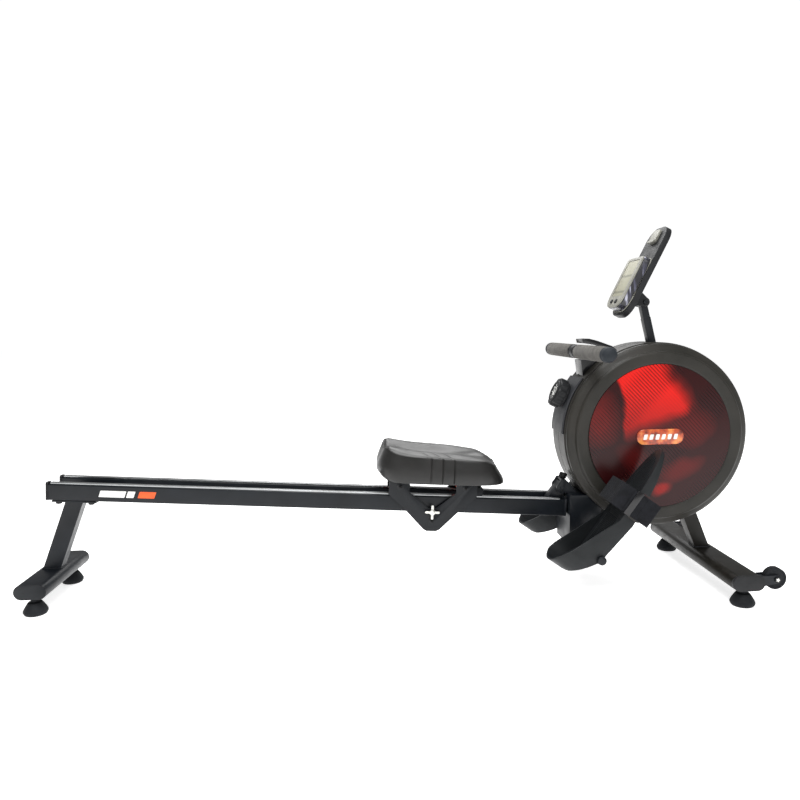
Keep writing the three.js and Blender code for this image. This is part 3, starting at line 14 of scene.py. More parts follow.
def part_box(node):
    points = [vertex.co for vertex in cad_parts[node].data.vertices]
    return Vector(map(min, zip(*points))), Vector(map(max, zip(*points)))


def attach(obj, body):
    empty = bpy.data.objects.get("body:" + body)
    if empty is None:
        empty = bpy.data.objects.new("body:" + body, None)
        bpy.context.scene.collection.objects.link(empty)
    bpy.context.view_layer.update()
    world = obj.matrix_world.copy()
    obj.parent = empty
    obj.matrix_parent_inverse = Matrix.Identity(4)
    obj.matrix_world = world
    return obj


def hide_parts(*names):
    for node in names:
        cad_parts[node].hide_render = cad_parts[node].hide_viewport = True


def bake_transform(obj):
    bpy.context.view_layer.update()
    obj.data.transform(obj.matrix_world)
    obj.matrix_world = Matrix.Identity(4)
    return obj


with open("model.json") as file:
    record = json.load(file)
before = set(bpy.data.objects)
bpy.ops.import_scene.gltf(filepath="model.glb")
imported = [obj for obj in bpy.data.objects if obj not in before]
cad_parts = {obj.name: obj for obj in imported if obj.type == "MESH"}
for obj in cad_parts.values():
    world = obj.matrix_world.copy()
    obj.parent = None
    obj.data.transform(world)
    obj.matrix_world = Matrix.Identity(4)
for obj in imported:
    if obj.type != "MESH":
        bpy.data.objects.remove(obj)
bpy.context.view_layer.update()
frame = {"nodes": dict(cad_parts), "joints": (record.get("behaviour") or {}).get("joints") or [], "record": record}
joints = {joint["name"]: joint for joint in frame["joints"]}

MM = 0.001
SIDES = (("near", -1), ("far", 1))

# ---------- driving sizes, in millimetres and degrees ----------
PEDAL_PITCH = 54
PEDAL_HEEL_FROM_AXLE = Vector((-76, 0, -30))
HINGE_ALONG_RAIL = -2
HINGE_ABOVE_RAIL = 66
BEAM_WIDTH = 20
BEAM_Y = 40
STRIPE_LEAN = 5
SEAT_BOTTOM = 83
CARRIAGE_ROOF = 88
RECESS_HALF_X = 112.5
RECESS_HALF_Y = 59.5
DRUM_RADIUS = 230
DRUM_HALF = 60
DRUM_FACE = 84
FACE_RADIUS = 208
LENS_RADIUS = 177
LENS_DOME = 7
COVER_START = 141.5
COVER_END = 179
COVER_HALF = 50
COVER_THICKNESS = 6
KNOB_ANGLE = 155.5
BADGE_X = 654.5
BADGE_Z = 383.5
BADGE_LENGTH = 117
BADGE_HEIGHT = 38
BADGE_DASHES = 6
POST_LEAN = -21.5
MAST_LEAN = -13.4
GRIP_RADIUS = 18
GRIP_BORE = 12.8
CAP_RADIUS = 17.5
GRIP_START = 24
GRIP_END = 232
HANDLE_HALF = 260
FOOT_RADIUS = 27.5
FOOT_STEM_RADIUS = 9.5
FOOT_TOP = 41.7
FOOT_RIBS = 24
WHEEL_HALF = 10
ROLLER_RADIUS = 20
PEDAL_HALF = 52
METER_HALF = 53
METER_BOTTOM = -47
METER_TOP = 93
METER_FACE_X = -61.8
BUTTON_Z = METER_BOTTOM + 17
BUTTON_Y = 15
PLATE_FACE_X = -43.5


# ---------- frames ----------
def place_at(origin, turn=0.0):
    """Takes millimetres in a frame turned about Y to the model's metres."""
    turned = Matrix.Rotation(math.radians(turn), 4, "Y")
    return Matrix.Translation(origin) @ turned @ Matrix.Scale(MM, 4)


def joint_point(name):
    return Vector(joints[name]["pos_m"])


def slope_of(direction):
    return math.degrees(math.atan2(-direction[2], direction[0]))


WORLD = place_at((0, 0, 0))
seat_axis = -Vector(joints["seat_slide"]["axis"])
RAIL_TURN = slope_of(seat_axis)
rail_turn = Matrix.Rotation(math.radians(RAIL_TURN), 3, "Y")
RAILS = place_at(
    joint_point("rail_fold") - rail_turn @ Vector((HINGE_ALONG_RAIL, 0, HINGE_ABOVE_RAIL)) * MM,
    RAIL_TURN,
)
LOWER_ROLLER_DROP = 20.3
SEAT = place_at(
    joint_point("lower_roller_turn") + rail_turn @ Vector((0, 0, LOWER_ROLLER_DROP)) * MM,
    RAIL_TURN,
)
DRUM = place_at(joint_point("flywheel_spin"))
CONSOLE = place_at(joint_point("console_tilt"), slope_of(joints["mode_press"]["axis"]))
handle_low, handle_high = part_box("handle_bar")
COLLAR_RADIUS = 17
HANDLE = place_at(
    (handle_low.x + COLLAR_RADIUS * MM, 0, (handle_low.z + handle_high.z) / 2)
)
PEDALS = {
    side: place_at(joint_point(f"pedal_{side}_tilt") + PEDAL_HEEL_FROM_AXLE * MM, -PEDAL_PITCH)
    for side, _ in SIDES
}


# ---------- outlines ----------
def rounded(points, radius, steps=5):
    """A closed outline with its corners rounded. A third value in a point is its own radius."""
    outline = []
    for i, point in enumerate(points):
        here = Vector(point[:2])
        back = Vector(points[i - 1][:2]) - here
        ahead = Vector(points[(i + 1) % len(points)][:2]) - here
        wanted = point[2] if len(point) > 2 else radius
        reach = min(wanted, back.length * 0.49, ahead.length * 0.49)
        start = here + back.normalized() * reach
        end = here + ahead.normalized() * reach
        for k in range(steps + 1):
            t = k / steps
            outline.append(start * (1 - t) ** 2 + here * 2 * t * (1 - t) + end * t * t)
    return outline


def rectangle(left, low, right, high, radius, steps=5):
    return rounded([(left, low), (right, low), (right, high), (left, high)], radius, steps)


def stadium(width, height, steps=14):
    """An outline with two round ends, as long as width."""
    outline = []
    reach = (width - height) / 2
    for side, start in ((1, -math.pi / 2), (-1, math.pi / 2)):
        for k in range(steps + 1):
            angle = start + math.pi * k / steps
            outline.append(
                Vector((side * reach + height / 2 * math.cos(angle), height / 2 * math.sin(angle)))
            )
    return outline


def circle(radius, count=32, centre=(0, 0)):
    turns = [2 * math.pi * k / count for k in range(count)]
    return [Vector((centre[0] + radius * math.cos(t), centre[1] + radius * math.sin(t))) for t in turns]


def arc(radius, start, end, steps):
    """Points round the origin, from one angle to another in degrees."""
    turns = [math.radians(start + (end - start) * k / steps) for k in range(steps + 1)]
    return [(radius * math.cos(t), radius * math.sin(t)) for t in turns]


def anticlockwise(outline):
    points = [Vector(p[:2]) for p in outline]
    area = sum(a.x * b.y - b.x * a.y for a, b in zip(points, points[1:] + points[:1]))
    return points if area > 0 else points[::-1]


def inset(outline, amount):
    """An anticlockwise outline drawn in by an amount."""
    result = []
    for i, point in enumerate(outline):
        before = (point - outline[i - 1]).normalized()
        after = (outline[(i + 1) % len(outline)] - point).normalized()
        outward = Vector((before.y + after.y, -before.x - after.x))
        if outward.length < 1e-6:
            result.append(point.copy())
            continue
        outward.normalize()
        share = max(0.5, outward.dot(Vector((before.y, -before.x))))
        result.append(point - outward * (amount / share))
    return result


# ---------- meshes ----------
ORDER = {
    "x": lambda a, b, c: (c, a, b),
    "y": lambda a, b, c: (a, c, b),
    "z": lambda a, b, c: (a, b, c),
}


def loft(rings, closed=False):
    """Skins a list of rings of 3-D points, each with the same count, and caps the two ends."""
    mesh = bmesh.new()
    made = [[mesh.verts.new(point) for point in ring] for ring in rings]
    pairs = list(zip(made, made[1:]))
    if closed:
        pairs.append((made[-1], made[0]))
    for low, high in pairs:
        for i in range(len(low)):
            j = (i + 1) % len(low)
            mesh.faces.new((low[i], low[j], high[j], high[i]))
    if not closed:
        mesh.faces.new(made[0][::-1])
        mesh.faces.new(made[-1])
    bmesh.ops.recalc_face_normals(mesh, faces=mesh.faces)
    return mesh


def prism(outline, low, high, axis="y", edge=0.8, steps=3):
    """An outline carried along an axis, with its two end edges rounded."""
    outline = anticlockwise(outline)
    put = ORDER[axis]
    turns = [math.pi / 2 * k / steps for k in range(steps + 1)]
    levels = [(low + edge * (1 - math.cos(a)), edge * (1 - math.sin(a))) for a in turns]
    upper = [(high - (level - low), amount) for level, amount in reversed(levels)]
    rings = [[put(p.x, p.y, level) for p in inset(outline, amount)] for level, amount in levels + upper]
    return loft(rings)


def lathe(profile, sides=96, axis="y"):
    """A profile of (radius, along) points turned round an axis, closed on itself or on the axis."""
    mesh = bmesh.new()
    put = ORDER[axis]
    rings = []
    for radius, along in profile:
        if radius < 1e-6:
            rings.append([mesh.verts.new(put(0, 0, along))])
        else:
            rings.append([mesh.verts.new(put(p.x, p.y, along)) for p in circle(radius, sides)])
    pairs = list(zip(rings, rings[1:]))
    if len(rings[0]) > 1 and len(rings[-1]) > 1:
        pairs.append((rings[-1], rings[0]))
    for low, high in pairs:
        for i in range(sides):
            j = (i + 1) % sides
            corners = [low[i % len(low)], low[j % len(low)], high[j % len(high)], high[i % len(high)]]
            unique = list(dict.fromkeys(corners))
            if len(unique) > 2:
                mesh.faces.new(unique)
    bmesh.ops.recalc_face_normals(mesh, faces=mesh.faces)
    return mesh


def tube(points, radius, sides=10, closed=False):
    """A round rod that follows points."""
    points = [Vector(p) for p in points]
    rings = []
    count = len(points)
    for i, point in enumerate(points):
        if closed:
            along = points[(i + 1) % count] - points[i - 1]
        else:
            along = points[min(i + 1, count - 1)] - points[max(i - 1, 0)]
        turn = along.to_track_quat("Z", "Y")
        ring = [point + turn @ Vector((p.x, p.y, 0)) for p in circle(radius, sides)]
        rings.append(ring)
    return loft(rings, closed)


def moved(mesh, x=0.0, y=0.0, z=0.0, turn=0.0, about="Y"):
    rotation = Matrix.Rotation(math.radians(turn), 4, about)
    mesh.transform(Matrix.Translation((x, y, z)) @ rotation)
    return mesh


def flipped(mesh):
    """The mirror image across the machine's middle plane."""
    mesh.transform(Matrix.Scale(-1, 4, (0, 1, 0)))
    bmesh.ops.reverse_faces(mesh, faces=mesh.faces)
    return mesh


def on_side(sign, *meshes):
    """Meshes that are drawn on the near side, mirrored for the far one."""
    return [flipped(mesh) if sign > 0 else mesh for mesh in meshes]


def merged(*meshes):
    result = bmesh.new()
    for mesh in meshes:
        data = bpy.data.meshes.new("part")
        mesh.to_mesh(data)
        mesh.free()
        result.from_mesh(data)
        bpy.data.meshes.remove(data)
    return result


def bare_object(name, mesh):
    data = bpy.data.meshes.new(name)
    mesh.to_mesh(data)
    mesh.free()
    made = bpy.data.objects.new(name, data)
    bpy.context.scene.collection.objects.link(made)
    return made


def carved(body, *tools):
    """The body with the tools cut out of it."""
    target = bare_object("carved", body)
    cutters = [bare_object("tool", tool) for tool in tools]
    for cutter in cutters:
        modifier = target.modifiers.new("cut", "BOOLEAN")
        modifier.operation = "DIFFERENCE"
        modifier.solver = "EXACT"
        modifier.object = cutter
    bpy.context.view_layer.update()
    shown = target.evaluated_get(bpy.context.evaluated_depsgraph_get())
    result = bmesh.new()
    result.from_mesh(shown.to_mesh())
    shown.to_mesh_clear()
    for spare in [target, *cutters]:
        data = spare.data
        bpy.data.objects.remove(spare)
        bpy.data.meshes.remove(data)
    return result


def block(low, high, edge=0.0):
    """A box between two corners, with its upper and lower edges rounded."""
    (left, near, bottom), (right, far, top) = low, high
    outline = [Vector((left, near)), Vector((right, near)), Vector((right, far)), Vector((left, far))]
    return prism(outline, bottom, top, "z", edge=max(edge, 0.01), steps=2)


SHARP = math.radians(38)


def piece(name, mesh, place, material, body, replaces=()):
    """Finishes a mesh as a piece that rides on a body."""
    mesh.transform(place)
    mesh.normal_update()
    for face in mesh.faces:
        face.smooth = True
    for edge in mesh.edges:
        if len(edge.link_faces) == 2:
            edge.smooth = edge.calc_face_angle(0) < SHARP
    made = bare_object(name, mesh)
    made.data.materials.append(material)
    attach(made, body)
    if replaces:
        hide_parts(*replaces)
    return made


def body_of(node):
    return next(name for name, members in frame["record"]["behaviour"]["bodies"].items() if node in members)


def painted(node, material):
    """Shows a frame node's own shape in a finish."""
    materials = frame["nodes"][node].data.materials
    materials.clear()
    materials.append(material)


def refined(node, material, width=0.8, segments=2):
    """A frame node's shape with its hard edges rounded, standing for that node."""
    mesh = bmesh.new()
    mesh.from_mesh(frame["nodes"][node].data)
    bmesh.ops.remove_doubles(mesh, verts=mesh.verts, dist=1e-5)
    bmesh.ops.dissolve_limit(
        mesh, angle_limit=math.radians(1), verts=mesh.verts, edges=mesh.edges, delimit={"NORMAL"}
    )
    for face in mesh.faces:
        face.smooth = True
    made = bare_object(f"{node}_finish", mesh)
    made.data.materials.append(material)
    bevel = made.modifiers.new("edges", "BEVEL")
    bevel.width = width * MM
    bevel.segments = segments
    bevel.limit_method = "ANGLE"
    bevel.angle_limit = SHARP
    bevel.harden_normals = True
    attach(made, body_of(node))
    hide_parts(node)
    return made


def stand_in(node, suffix, mesh, place, material):
    """Shows a mesh in place of a frame node, which it moves with."""
    return piece(f"{node}_{suffix}", mesh, place, material, body_of(node), [node])


# ---------- materials ----------
def linear(code):
    """A colour from its six-digit sRGB code."""
    values = [int(code[i:i + 2], 16) / 255 for i in (0, 2, 4)]
    return tuple(v / 12.92 if v <= 0.04045 else ((v + 0.055) / 1.055) ** 2.4 for v in values) + (1.0,)


class Finish:
    """A Principled material that gains its detail node by node."""

    def __init__(self, name, roughness, metallic=0.0, coat=0.0, specular=0.5, sheen=0.0):
        self.material = bpy.data.materials.new(name)
        self.material.use_nodes = True
        self.tree = self.material.node_tree
        self.surface = self.tree.nodes["Principled BSDF"]
        self.surface.inputs["Roughness"].default_value = roughness
        self.surface.inputs["Metallic"].default_value = metallic
        self.surface.inputs["Coat Weight"].default_value = coat
        self.surface.inputs["Specular IOR Level"].default_value = specular
        self.surface.inputs["Sheen Weight"].default_value = sheen
        self.place = self.tree.nodes.new("ShaderNodeTexCoord").outputs["Object"]

    def node(self, kind, **inputs):
        made = self.tree.nodes.new(kind)
        for key, value in inputs.items():
            self.feed(made, key.replace("_", " "), value)
        return made

    def feed(self, node, key, value):
        socket = node.inputs[int(key) if key.isdigit() else key]
        if isinstance(value, bpy.types.NodeSocket):
            self.tree.links.new(value, socket)
        else:
            socket.default_value = value

    def math(self, operation, first, second=0.0, third=0.0):
        made = self.tree.nodes.new("ShaderNodeMath")
        made.operation = operation
        for key, value in enumerate((first, second, third)):
            self.feed(made, str(key), value)
        return made.outputs[0]

    def mapped(self, stretch=(1, 1, 1), turn=(0, 0, 0), shift=(0, 0, 0)):
        mapping = self.node("ShaderNodeMapping", Vector=self.place)
        mapping.inputs["Scale"].default_value = stretch
        mapping.inputs["Rotation"].default_value = [math.radians(t) for t in turn]
        mapping.inputs["Location"].default_value = shift
        return mapping.outputs[0]

    def noise(self, scale, detail=3.0, vector=None):
        made = self.node("ShaderNodeTexNoise", Vector=vector or self.place, Scale=scale, Detail=detail)
        return made.outputs["Fac"]

    def cells(self, scale, vector=None):
        made = self.node("ShaderNodeTexVoronoi", Vector=vector or self.place, Scale=scale)
        return made.outputs["Distance"]

    def ramp(self, factor, *stops):
        made = self.node("ShaderNodeValToRGB", Fac=factor)
        elements = made.color_ramp.elements
        elements[0].position, elements[0].color = stops[0]
        elements[1].position, elements[1].color = stops[-1]
        for position, shade in stops[1:-1]:
            elements.new(position).color = shade
        return made.outputs["Color"]

    def level(self, factor, low, high, to_low=0.0, to_high=1.0):
        made = self.node("ShaderNodeMapRange", Value=factor)
        made.clamp = True
        for key, value in (("From Min", low), ("From Max", high), ("To Min", to_low), ("To Max", to_high)):
            made.inputs[key].default_value = value
        return made.outputs["Result"]

    def mix(self, factor, first, second):
        made = self.tree.nodes.new("ShaderNodeMix")
        made.data_type = "RGBA"
        self.feed(made, "0", factor)
        self.feed(made, "6", first)
        self.feed(made, "7", second)
        return made.outputs[2]

    def colour(self, value):
        self.feed(self.surface, "Base Color", value)
        return self

    def mottled(self, first, second, scale=14.0):
        """Two near shades, mixed by a soft cloud."""
        return self.colour(self.ramp(self.noise(scale), (0.35, linear(first)), (0.65, linear(second))))

    def worn(self, low, high, scale=30.0):
        """Roughness that wanders between two values."""
        self.feed(self.surface, "Roughness", self.level(self.noise(scale, 6.0), 0.3, 0.7, low, high))
        return self

    def bump(self, height, depth, strength=1.0):
        """Adds relief, its depth in millimetres, over any relief that is already there."""
        made = self.node("ShaderNodeBump", Height=height, Strength=strength, Distance=depth * MM)
        socket = self.surface.inputs["Normal"]
        if socket.is_linked:
            self.tree.links.new(socket.links[0].from_socket, made.inputs["Normal"])
        self.feed(self.surface, "Normal", made.outputs[0])
        return self

    def grained(self, scale, detail, depth, strength):
        """Adds a fine grain and gives the finished material."""
        return self.bump(self.noise(scale, detail), depth, strength).material


def powder_coat(name, first, second):
    finish = Finish(name, 0.4, specular=0.28).mottled(first, second, 9).worn(0.3, 0.44)
    return finish.grained(900, 2.0, 0.10, 0.6)


def moulding(name, first, second, low=0.45, high=0.58, grain=1500, depth=0.05, specular=0.3):
    finish = Finish(name, 0.5, specular=specular).mottled(first, second, 12).worn(low, high, 40)
    return finish.bump(finish.cells(grain), depth, 0.7).material


def rubber(name, first, second):
    finish = Finish(name, 0.8, specular=0.22).mottled(first, second, 25).worn(0.6, 0.8)
    return finish.grained(1200, 4.0, 0.12, 0.6)


def seat_skin():
    finish = Finish("seat_skin", 0.38, specular=0.45).mottled("131312", "1b1a19", 10).worn(0.3, 0.44, 22)
    finish.bump(finish.cells(620), 0.10, 0.55)
    return finish.grained(60, 5.0, 0.5, 0.25)


def grey_foam():
    finish = Finish("grey_foam", 0.95, specular=0.2, sheen=0.06).mottled("4e4c49", "5d5b57", 60)
    finish.bump(finish.cells(900), 0.35, 0.8)
    return finish.grained(240, 4.0, 0.5, 0.4)


def urethane():
    finish = Finish("urethane", 0.45).mottled("9c2614", "b0331b", 30).worn(0.4, 0.55)
    return finish.grained(500, 3.0, 0.1, 0.4)


def zinc():
    finish = Finish("zinc", 0.25, metallic=1.0).mottled("c4c4be", "d8d8d2", 80).worn(0.18, 0.36, 120)
    return finish.grained(700, 3.0, 0.08, 0.4)


def aluminium():
    """Brushed along the rails."""
    finish = Finish("aluminium", 0.3, metallic=1.0).mottled("9a9c9d", "adafb0", 16)
    brushed = finish.noise(260, 5.0, finish.mapped((0.02, 1, 1)))
    finish.feed(finish.surface, "Roughness", finish.level(brushed, 0.3, 0.7, 0.22, 0.42))
    return finish.bump(brushed, 0.05, 0.5).material


def cast_iron():
    finish = Finish("cast_iron", 0.4, metallic=0.9).mottled("5a5a5c", "6c6c6e", 40).worn(0.32, 0.5)
    return finish.grained(400, 6.0, 0.15, 0.5)


def silver(name, first, second):
    finish = Finish(name, 0.45, metallic=0.1, specular=0.35).mottled(first, second, 20).worn(0.4, 0.5)
    return finish.grained(1100, 2.0, 0.03, 0.4)


def webbing(name, turn):
    """Woven tape: two crossed sets of threads, turned to lie along the strap."""
    finish = Finish(name, 0.85, specular=0.15, sheen=0.03).mottled("131417", "1b1c20", 50)
    lie = finish.mapped(turn=(0, turn, 0))
    parts = finish.node("ShaderNodeSeparateXYZ", Vector=lie)
    thread = 2 * math.pi / (1.7 * MM)
    across = finish.math("SINE", finish.math("MULTIPLY", parts.outputs["X"], thread))
    along = finish.math("SINE", finish.math("MULTIPLY", parts.outputs["Y"], thread))
    weave = finish.math("MULTIPLY", across, along)
    finish.bump(weave, 0.25, 0.7)
    return finish.grained(1500, 2.0, 0.1, 0.5)


def plain_print(name, first, second, roughness=0.4):
    finish = Finish(name, roughness).mottled(first, second, 60)
    return finish.grained(1500, 2.0, 0.02, 0.4)


def red_lens():
    """Dark red with a bright wedge at the top, small bright patches below, and fine slanting lines."""
    finish = Finish("red_lens", 0.25, specular=0.25)
    centre = joint_point("flywheel_spin")
    parts = finish.node("ShaderNodeSeparateXYZ", Vector=finish.mapped(shift=(-centre.x, 0, -centre.z)))
    x, z = parts.outputs["X"], parts.outputs["Z"]
    wander = finish.level(finish.noise(9, 2.0), 0.3, 0.7, -0.014, 0.014)

    def beyond(across, up, start, end):
        """0 before a slanting line and 1 past it; start and end are along its normal, in millimetres."""
        share = finish.math("ADD", finish.math("MULTIPLY", x, across), finish.math("MULTIPLY", z, up))
        return finish.level(finish.math("ADD", share, wander), start * MM, end * MM)

    def spot(px, pz, reach_x, reach_z, slant):
        """One at the middle of a slanting oval, falling to 0 at its rim."""
        dx = finish.math("SUBTRACT", x, px * MM)
        dz = finish.math("ADD", finish.math("SUBTRACT", z, pz * MM), wander)
        c, s = math.cos(math.radians(slant)), math.sin(math.radians(slant))
        along = finish.math("ADD", finish.math("MULTIPLY", dx, c), finish.math("MULTIPLY", dz, s))
        across = finish.math("SUBTRACT", finish.math("MULTIPLY", dz, c), finish.math("MULTIPLY", dx, s))
        first = finish.math("POWER", finish.math("DIVIDE", along, reach_x * MM), 2.0)
        second = finish.math("POWER", finish.math("DIVIDE", across, reach_z * MM), 2.0)
        return finish.level(finish.math("ADD", first, second), 1.2, 0.1)

    def most(*levels):
        result = levels[0]
        for level in levels[1:]:
            result = finish.math("MAXIMUM", result, level)
        return result

    wedge = finish.math("MULTIPLY", beyond(0.98, 0.2, -86, -76), beyond(-0.30, 0.95, 8, 52))
    wedge = finish.math("MULTIPLY", wedge, beyond(-0.865, -0.504, -128, -84))
    core = finish.math("MULTIPLY", wedge, finish.level(z, 0.015, 0.11, 0.62, 1.0))
    dim = most(
        finish.math("MULTIPLY", spot(-150, 42, 52, 70, 0), 0.34),
        finish.math("MULTIPLY", spot(70, 20, 70, 46, 10), 0.26),
        finish.math("MULTIPLY", spot(52, -82, 66, 30, 20), 0.28),
        finish.math("MULTIPLY", spot(4, -128, 32, 18, 30), 0.55),
        finish.math("MULTIPLY", spot(-60, -60, 60, 40, -45), 0.16),
    )
    glow = most(core, dim)
    slant = finish.math("ADD", x, finish.math("MULTIPLY", z, 0.94))
    lines = finish.math("SINE", finish.math("MULTIPLY", slant, 2 * math.pi / (9.5 * MM)))
    thin = finish.level(lines, 0.1, 0.8)
    cross = finish.math("SUBTRACT", x, z)
    bands = finish.math("SINE", finish.math("MULTIPLY", cross, 2 * math.pi / (210 * MM)))
    shown = finish.math("MULTIPLY", thin, finish.level(bands, -0.5, 0.4, 0.15, 1.0))
    base = finish.ramp(
        glow,
        (0.0, linear("2c0b0c")),
        (0.3, linear("571110")),
        (0.6, linear("97150f")),
        (1.0, linear("cd1c16")),
    )
    finish.colour(finish.mix(finish.math("MULTIPLY", shown, 0.72), base, linear("140404")))
    finish.bump(shown, -0.12, 0.5)
    return finish.material


def badge_glow():
    """Orange clouded with dark red."""
    finish = Finish("badge_glow", 0.3, coat=0.5)
    cloud = finish.noise(45, 3.0)
    shades = ((0.36, linear("5e1c10")), (0.5, linear("b8481f")), (0.66, linear("e08a44")))
    finish.colour(finish.ramp(cloud, *shades))
    return finish.grained(400, 2.0, 0.05, 0.4)


def screen():
    """Grey-green liquid-crystal glass, with faint rows."""
    finish = Finish("screen", 0.45, specular=0.3)
    parts = finish.node("ShaderNodeSeparateXYZ", Vector=finish.mapped(turn=(0, 27, 0)))
    rows = finish.math("SINE", finish.math("MULTIPLY", parts.outputs["Z"], 2 * math.pi / (26 * MM)))
    finish.colour(finish.ramp(finish.level(rows, 0.82, 0.98), (0, linear("8d8b78")), (1, linear("6d6c5d"))))
    return finish.grained(900, 2.0, 0.02, 0.3)


def meter_side():
    """Dark moulding with slanting silver-blue streaks."""
    finish = Finish("meter_side", 0.35, coat=0.3)
    parts = finish.node("ShaderNodeSeparateXYZ", Vector=finish.mapped(turn=(0, 62, 0)))
    streaks = finish.noise(110, 2.0, finish.mapped((1, 1, 0.12), turn=(0, 52, 0)))
    shade = finish.ramp(streaks, (0.5, linear("1d1d22")), (0.6, linear("454556")), (0.7, linear("a7a7b4")))
    finish.colour(shade)
    return finish.bump(finish.math("ABSOLUTE", parts.outputs["X"]), 0.02, 0.3).material


PAINT = powder_coat("black_paint", "0c0f13", "13171c")
PAINT_WARM = powder_coat("front_paint", "12110e", "1c1a16")
CASING = moulding("casing_plastic", "201f1b", "2a2824", 0.4, 0.52)
COVER = moulding("cover_plastic", "25262a", "2f3033", 0.4, 0.52)
BLACK = moulding("black_plastic", "121315", "1a1b1d")
GLOSS = moulding("gloss_black", "0e0e10", "151517", 0.12, 0.2, 900, 0.01, 0.5)
PEDAL = moulding("pedal_plastic", "101315", "191c1e", 0.44, 0.58, 900, 0.08)
RUBBER = rubber("black_rubber", "15171a", "1f2124")
CAP_RUBBER = rubber("cap_rubber", "1c2024", "282c31")
SEAT_SKIN = seat_skin()
FOAM = grey_foam()
URETHANE = urethane()
ZINC = zinc()
ALUMINIUM = aluminium()
IRON = cast_iron()
SILVER = silver("silver", "77766f", "8b8a81")
STRAP = webbing("strap_webbing", 0)
PEDAL_STRAP = webbing("pedal_webbing", PEDAL_PITCH)
LENS = red_lens()
BADGE = badge_glow()
SCREEN = screen()
METER_SIDE = meter_side()
WHITE_PRINT = plain_print("white_print", "dcdcd8", "ecece9")
ORANGE_PRINT = plain_print("orange_print", "d84e14", "e65c1c")


# ---------- camera, floor and light ----------
def make_camera():
    lens_px = 715.8
    sensor = 36.0
    image_px = 800
    data = bpy.data.cameras.new("camera")
    data.sensor_width = sensor
    data.lens = sensor * lens_px / image_px
    camera = bpy.data.objects.new("camera", data)
    bpy.context.scene.collection.objects.link(camera)
    yaw, pitch, roll = (math.radians(a) for a in (2.64, 5.77, -1.09))
    forward = Vector((math.sin(yaw) * math.cos(pitch), math.cos(yaw) * math.cos(pitch), -math.sin(pitch)))
    right = Vector((math.cos(yaw), -math.sin(yaw), 0))
    up = right.cross(forward)
    rolled_right = right * math.cos(roll) + up * math.sin(roll)
    rolled_up = up * math.cos(roll) - right * math.sin(roll)
    turn = Matrix((rolled_right, rolled_up, -forward)).transposed().to_4x4()
    camera.matrix_world = Matrix.Translation((-0.06099, -1.79646, 0.66169)) @ turn
    bpy.context.scene.camera = camera


def make_stage():
    half = 30
    data = bpy.data.meshes.new("floor")
    corners = [(-half, -half, 0), (half, -half, 0), (half, half, 0), (-half, half, 0)]
    data.from_pydata(corners, [], [(0, 1, 2, 3)])
    floor = bpy.data.objects.new("floor", data)
    bpy.context.scene.collection.objects.link(floor)
    paper = Finish("paper", 0.9, specular=0.0)
    paper.colour(paper.ramp(paper.noise(3), (0.3, (0.86, 0.86, 0.86, 1)), (0.7, (0.88, 0.88, 0.88, 1))))
    paper.surface.inputs["Emission Color"].default_value = (1, 1, 1, 1)
    paper.surface.inputs["Emission Strength"].default_value = 0.7
    floor.data.materials.append(paper.material)

    # A white backdrop that lights the machine less than it shows
    world = bpy.data.worlds.new("studio")
    world.use_nodes = True
    nodes, links = world.node_tree.nodes, world.node_tree.links
    background = nodes["Background"]
    background.inputs["Color"].default_value = (1, 1, 1, 1)
    path = nodes.new("ShaderNodeLightPath")
    level = nodes.new("ShaderNodeMapRange")
    level.inputs["To Min"].default_value = 0.35
    level.inputs["To Max"].default_value = 1.05
    links.new(path.outputs["Is Camera Ray"], level.inputs["Value"])
    links.new(level.outputs["Result"], background.inputs["Strength"])
    bpy.context.scene.world = world
    bpy.context.scene.view_settings.view_transform = "Standard"

    lights = {
        "key": ((-0.6, -2.4, 3.6), (0.1, 0, 0.3), 2.0, 105),
        "top": ((0.2, 0.3, 3.6), (0.1, 0, 0.3), 2.0, 90),
        "fill": ((1.6, -3.0, 2.2), (0.4, 0, 0.4), 1.6, 20),
        "back": ((0.4, 2.6, 2.8), (0.1, 0, 0.3), 2.4, 60),
    }
    for name, (spot, target, size, power) in lights.items():
        lamp = bpy.data.lights.new(name, "AREA")
        lamp.size = size
        lamp.energy = power
        made = bpy.data.objects.new(name, lamp)
        made.location = spot
        made.rotation_euler = (Vector(target) - Vector(spot)).to_track_quat("-Z", "Y").to_euler()
        bpy.context.scene.collection.objects.link(made)


# ---------- floor pieces ----------
def make_feet():
    """Rubber bells on a stem, with short ribs round the widest part."""
    profile = rounded(
        [(0, 0), (FOOT_RADIUS - 3, 0), (FOOT_RADIUS - 0.2, 5), (FOOT_RADIUS, 9), (FOOT_RADIUS - 2, 14),
         (FOOT_RADIUS - 7.5, 23), (FOOT_STEM_RADIUS + 6.5, 29), (FOOT_STEM_RADIUS, 30.5),
         (FOOT_STEM_RADIUS, FOOT_TOP), (0, FOOT_TOP)],
        1.2,
        3,
    )
    profile[0] = Vector((0, 0))
    profile[-1] = Vector((0, FOOT_TOP))
    for end in ("front", "rear"):
        for side, _ in SIDES:
            node = f"foot_{end}_{side}"
            centre = joint_point(f"{node}_turn")
            mesh = lathe([(max(0.0, p.x), p.y) for p in profile], 64, "z")
            ribs = []
            for k in range(FOOT_RIBS):
                rib = block((FOOT_RADIUS - 1, -0.7, 5), (FOOT_RADIUS + 0.3, 0.7, 10), 0.3)
                ribs.append(moved(rib, turn=360 / FOOT_RIBS * k, about="Z"))
            stand_in(node, "bell", merged(mesh, *ribs), place_at(centre), RUBBER)


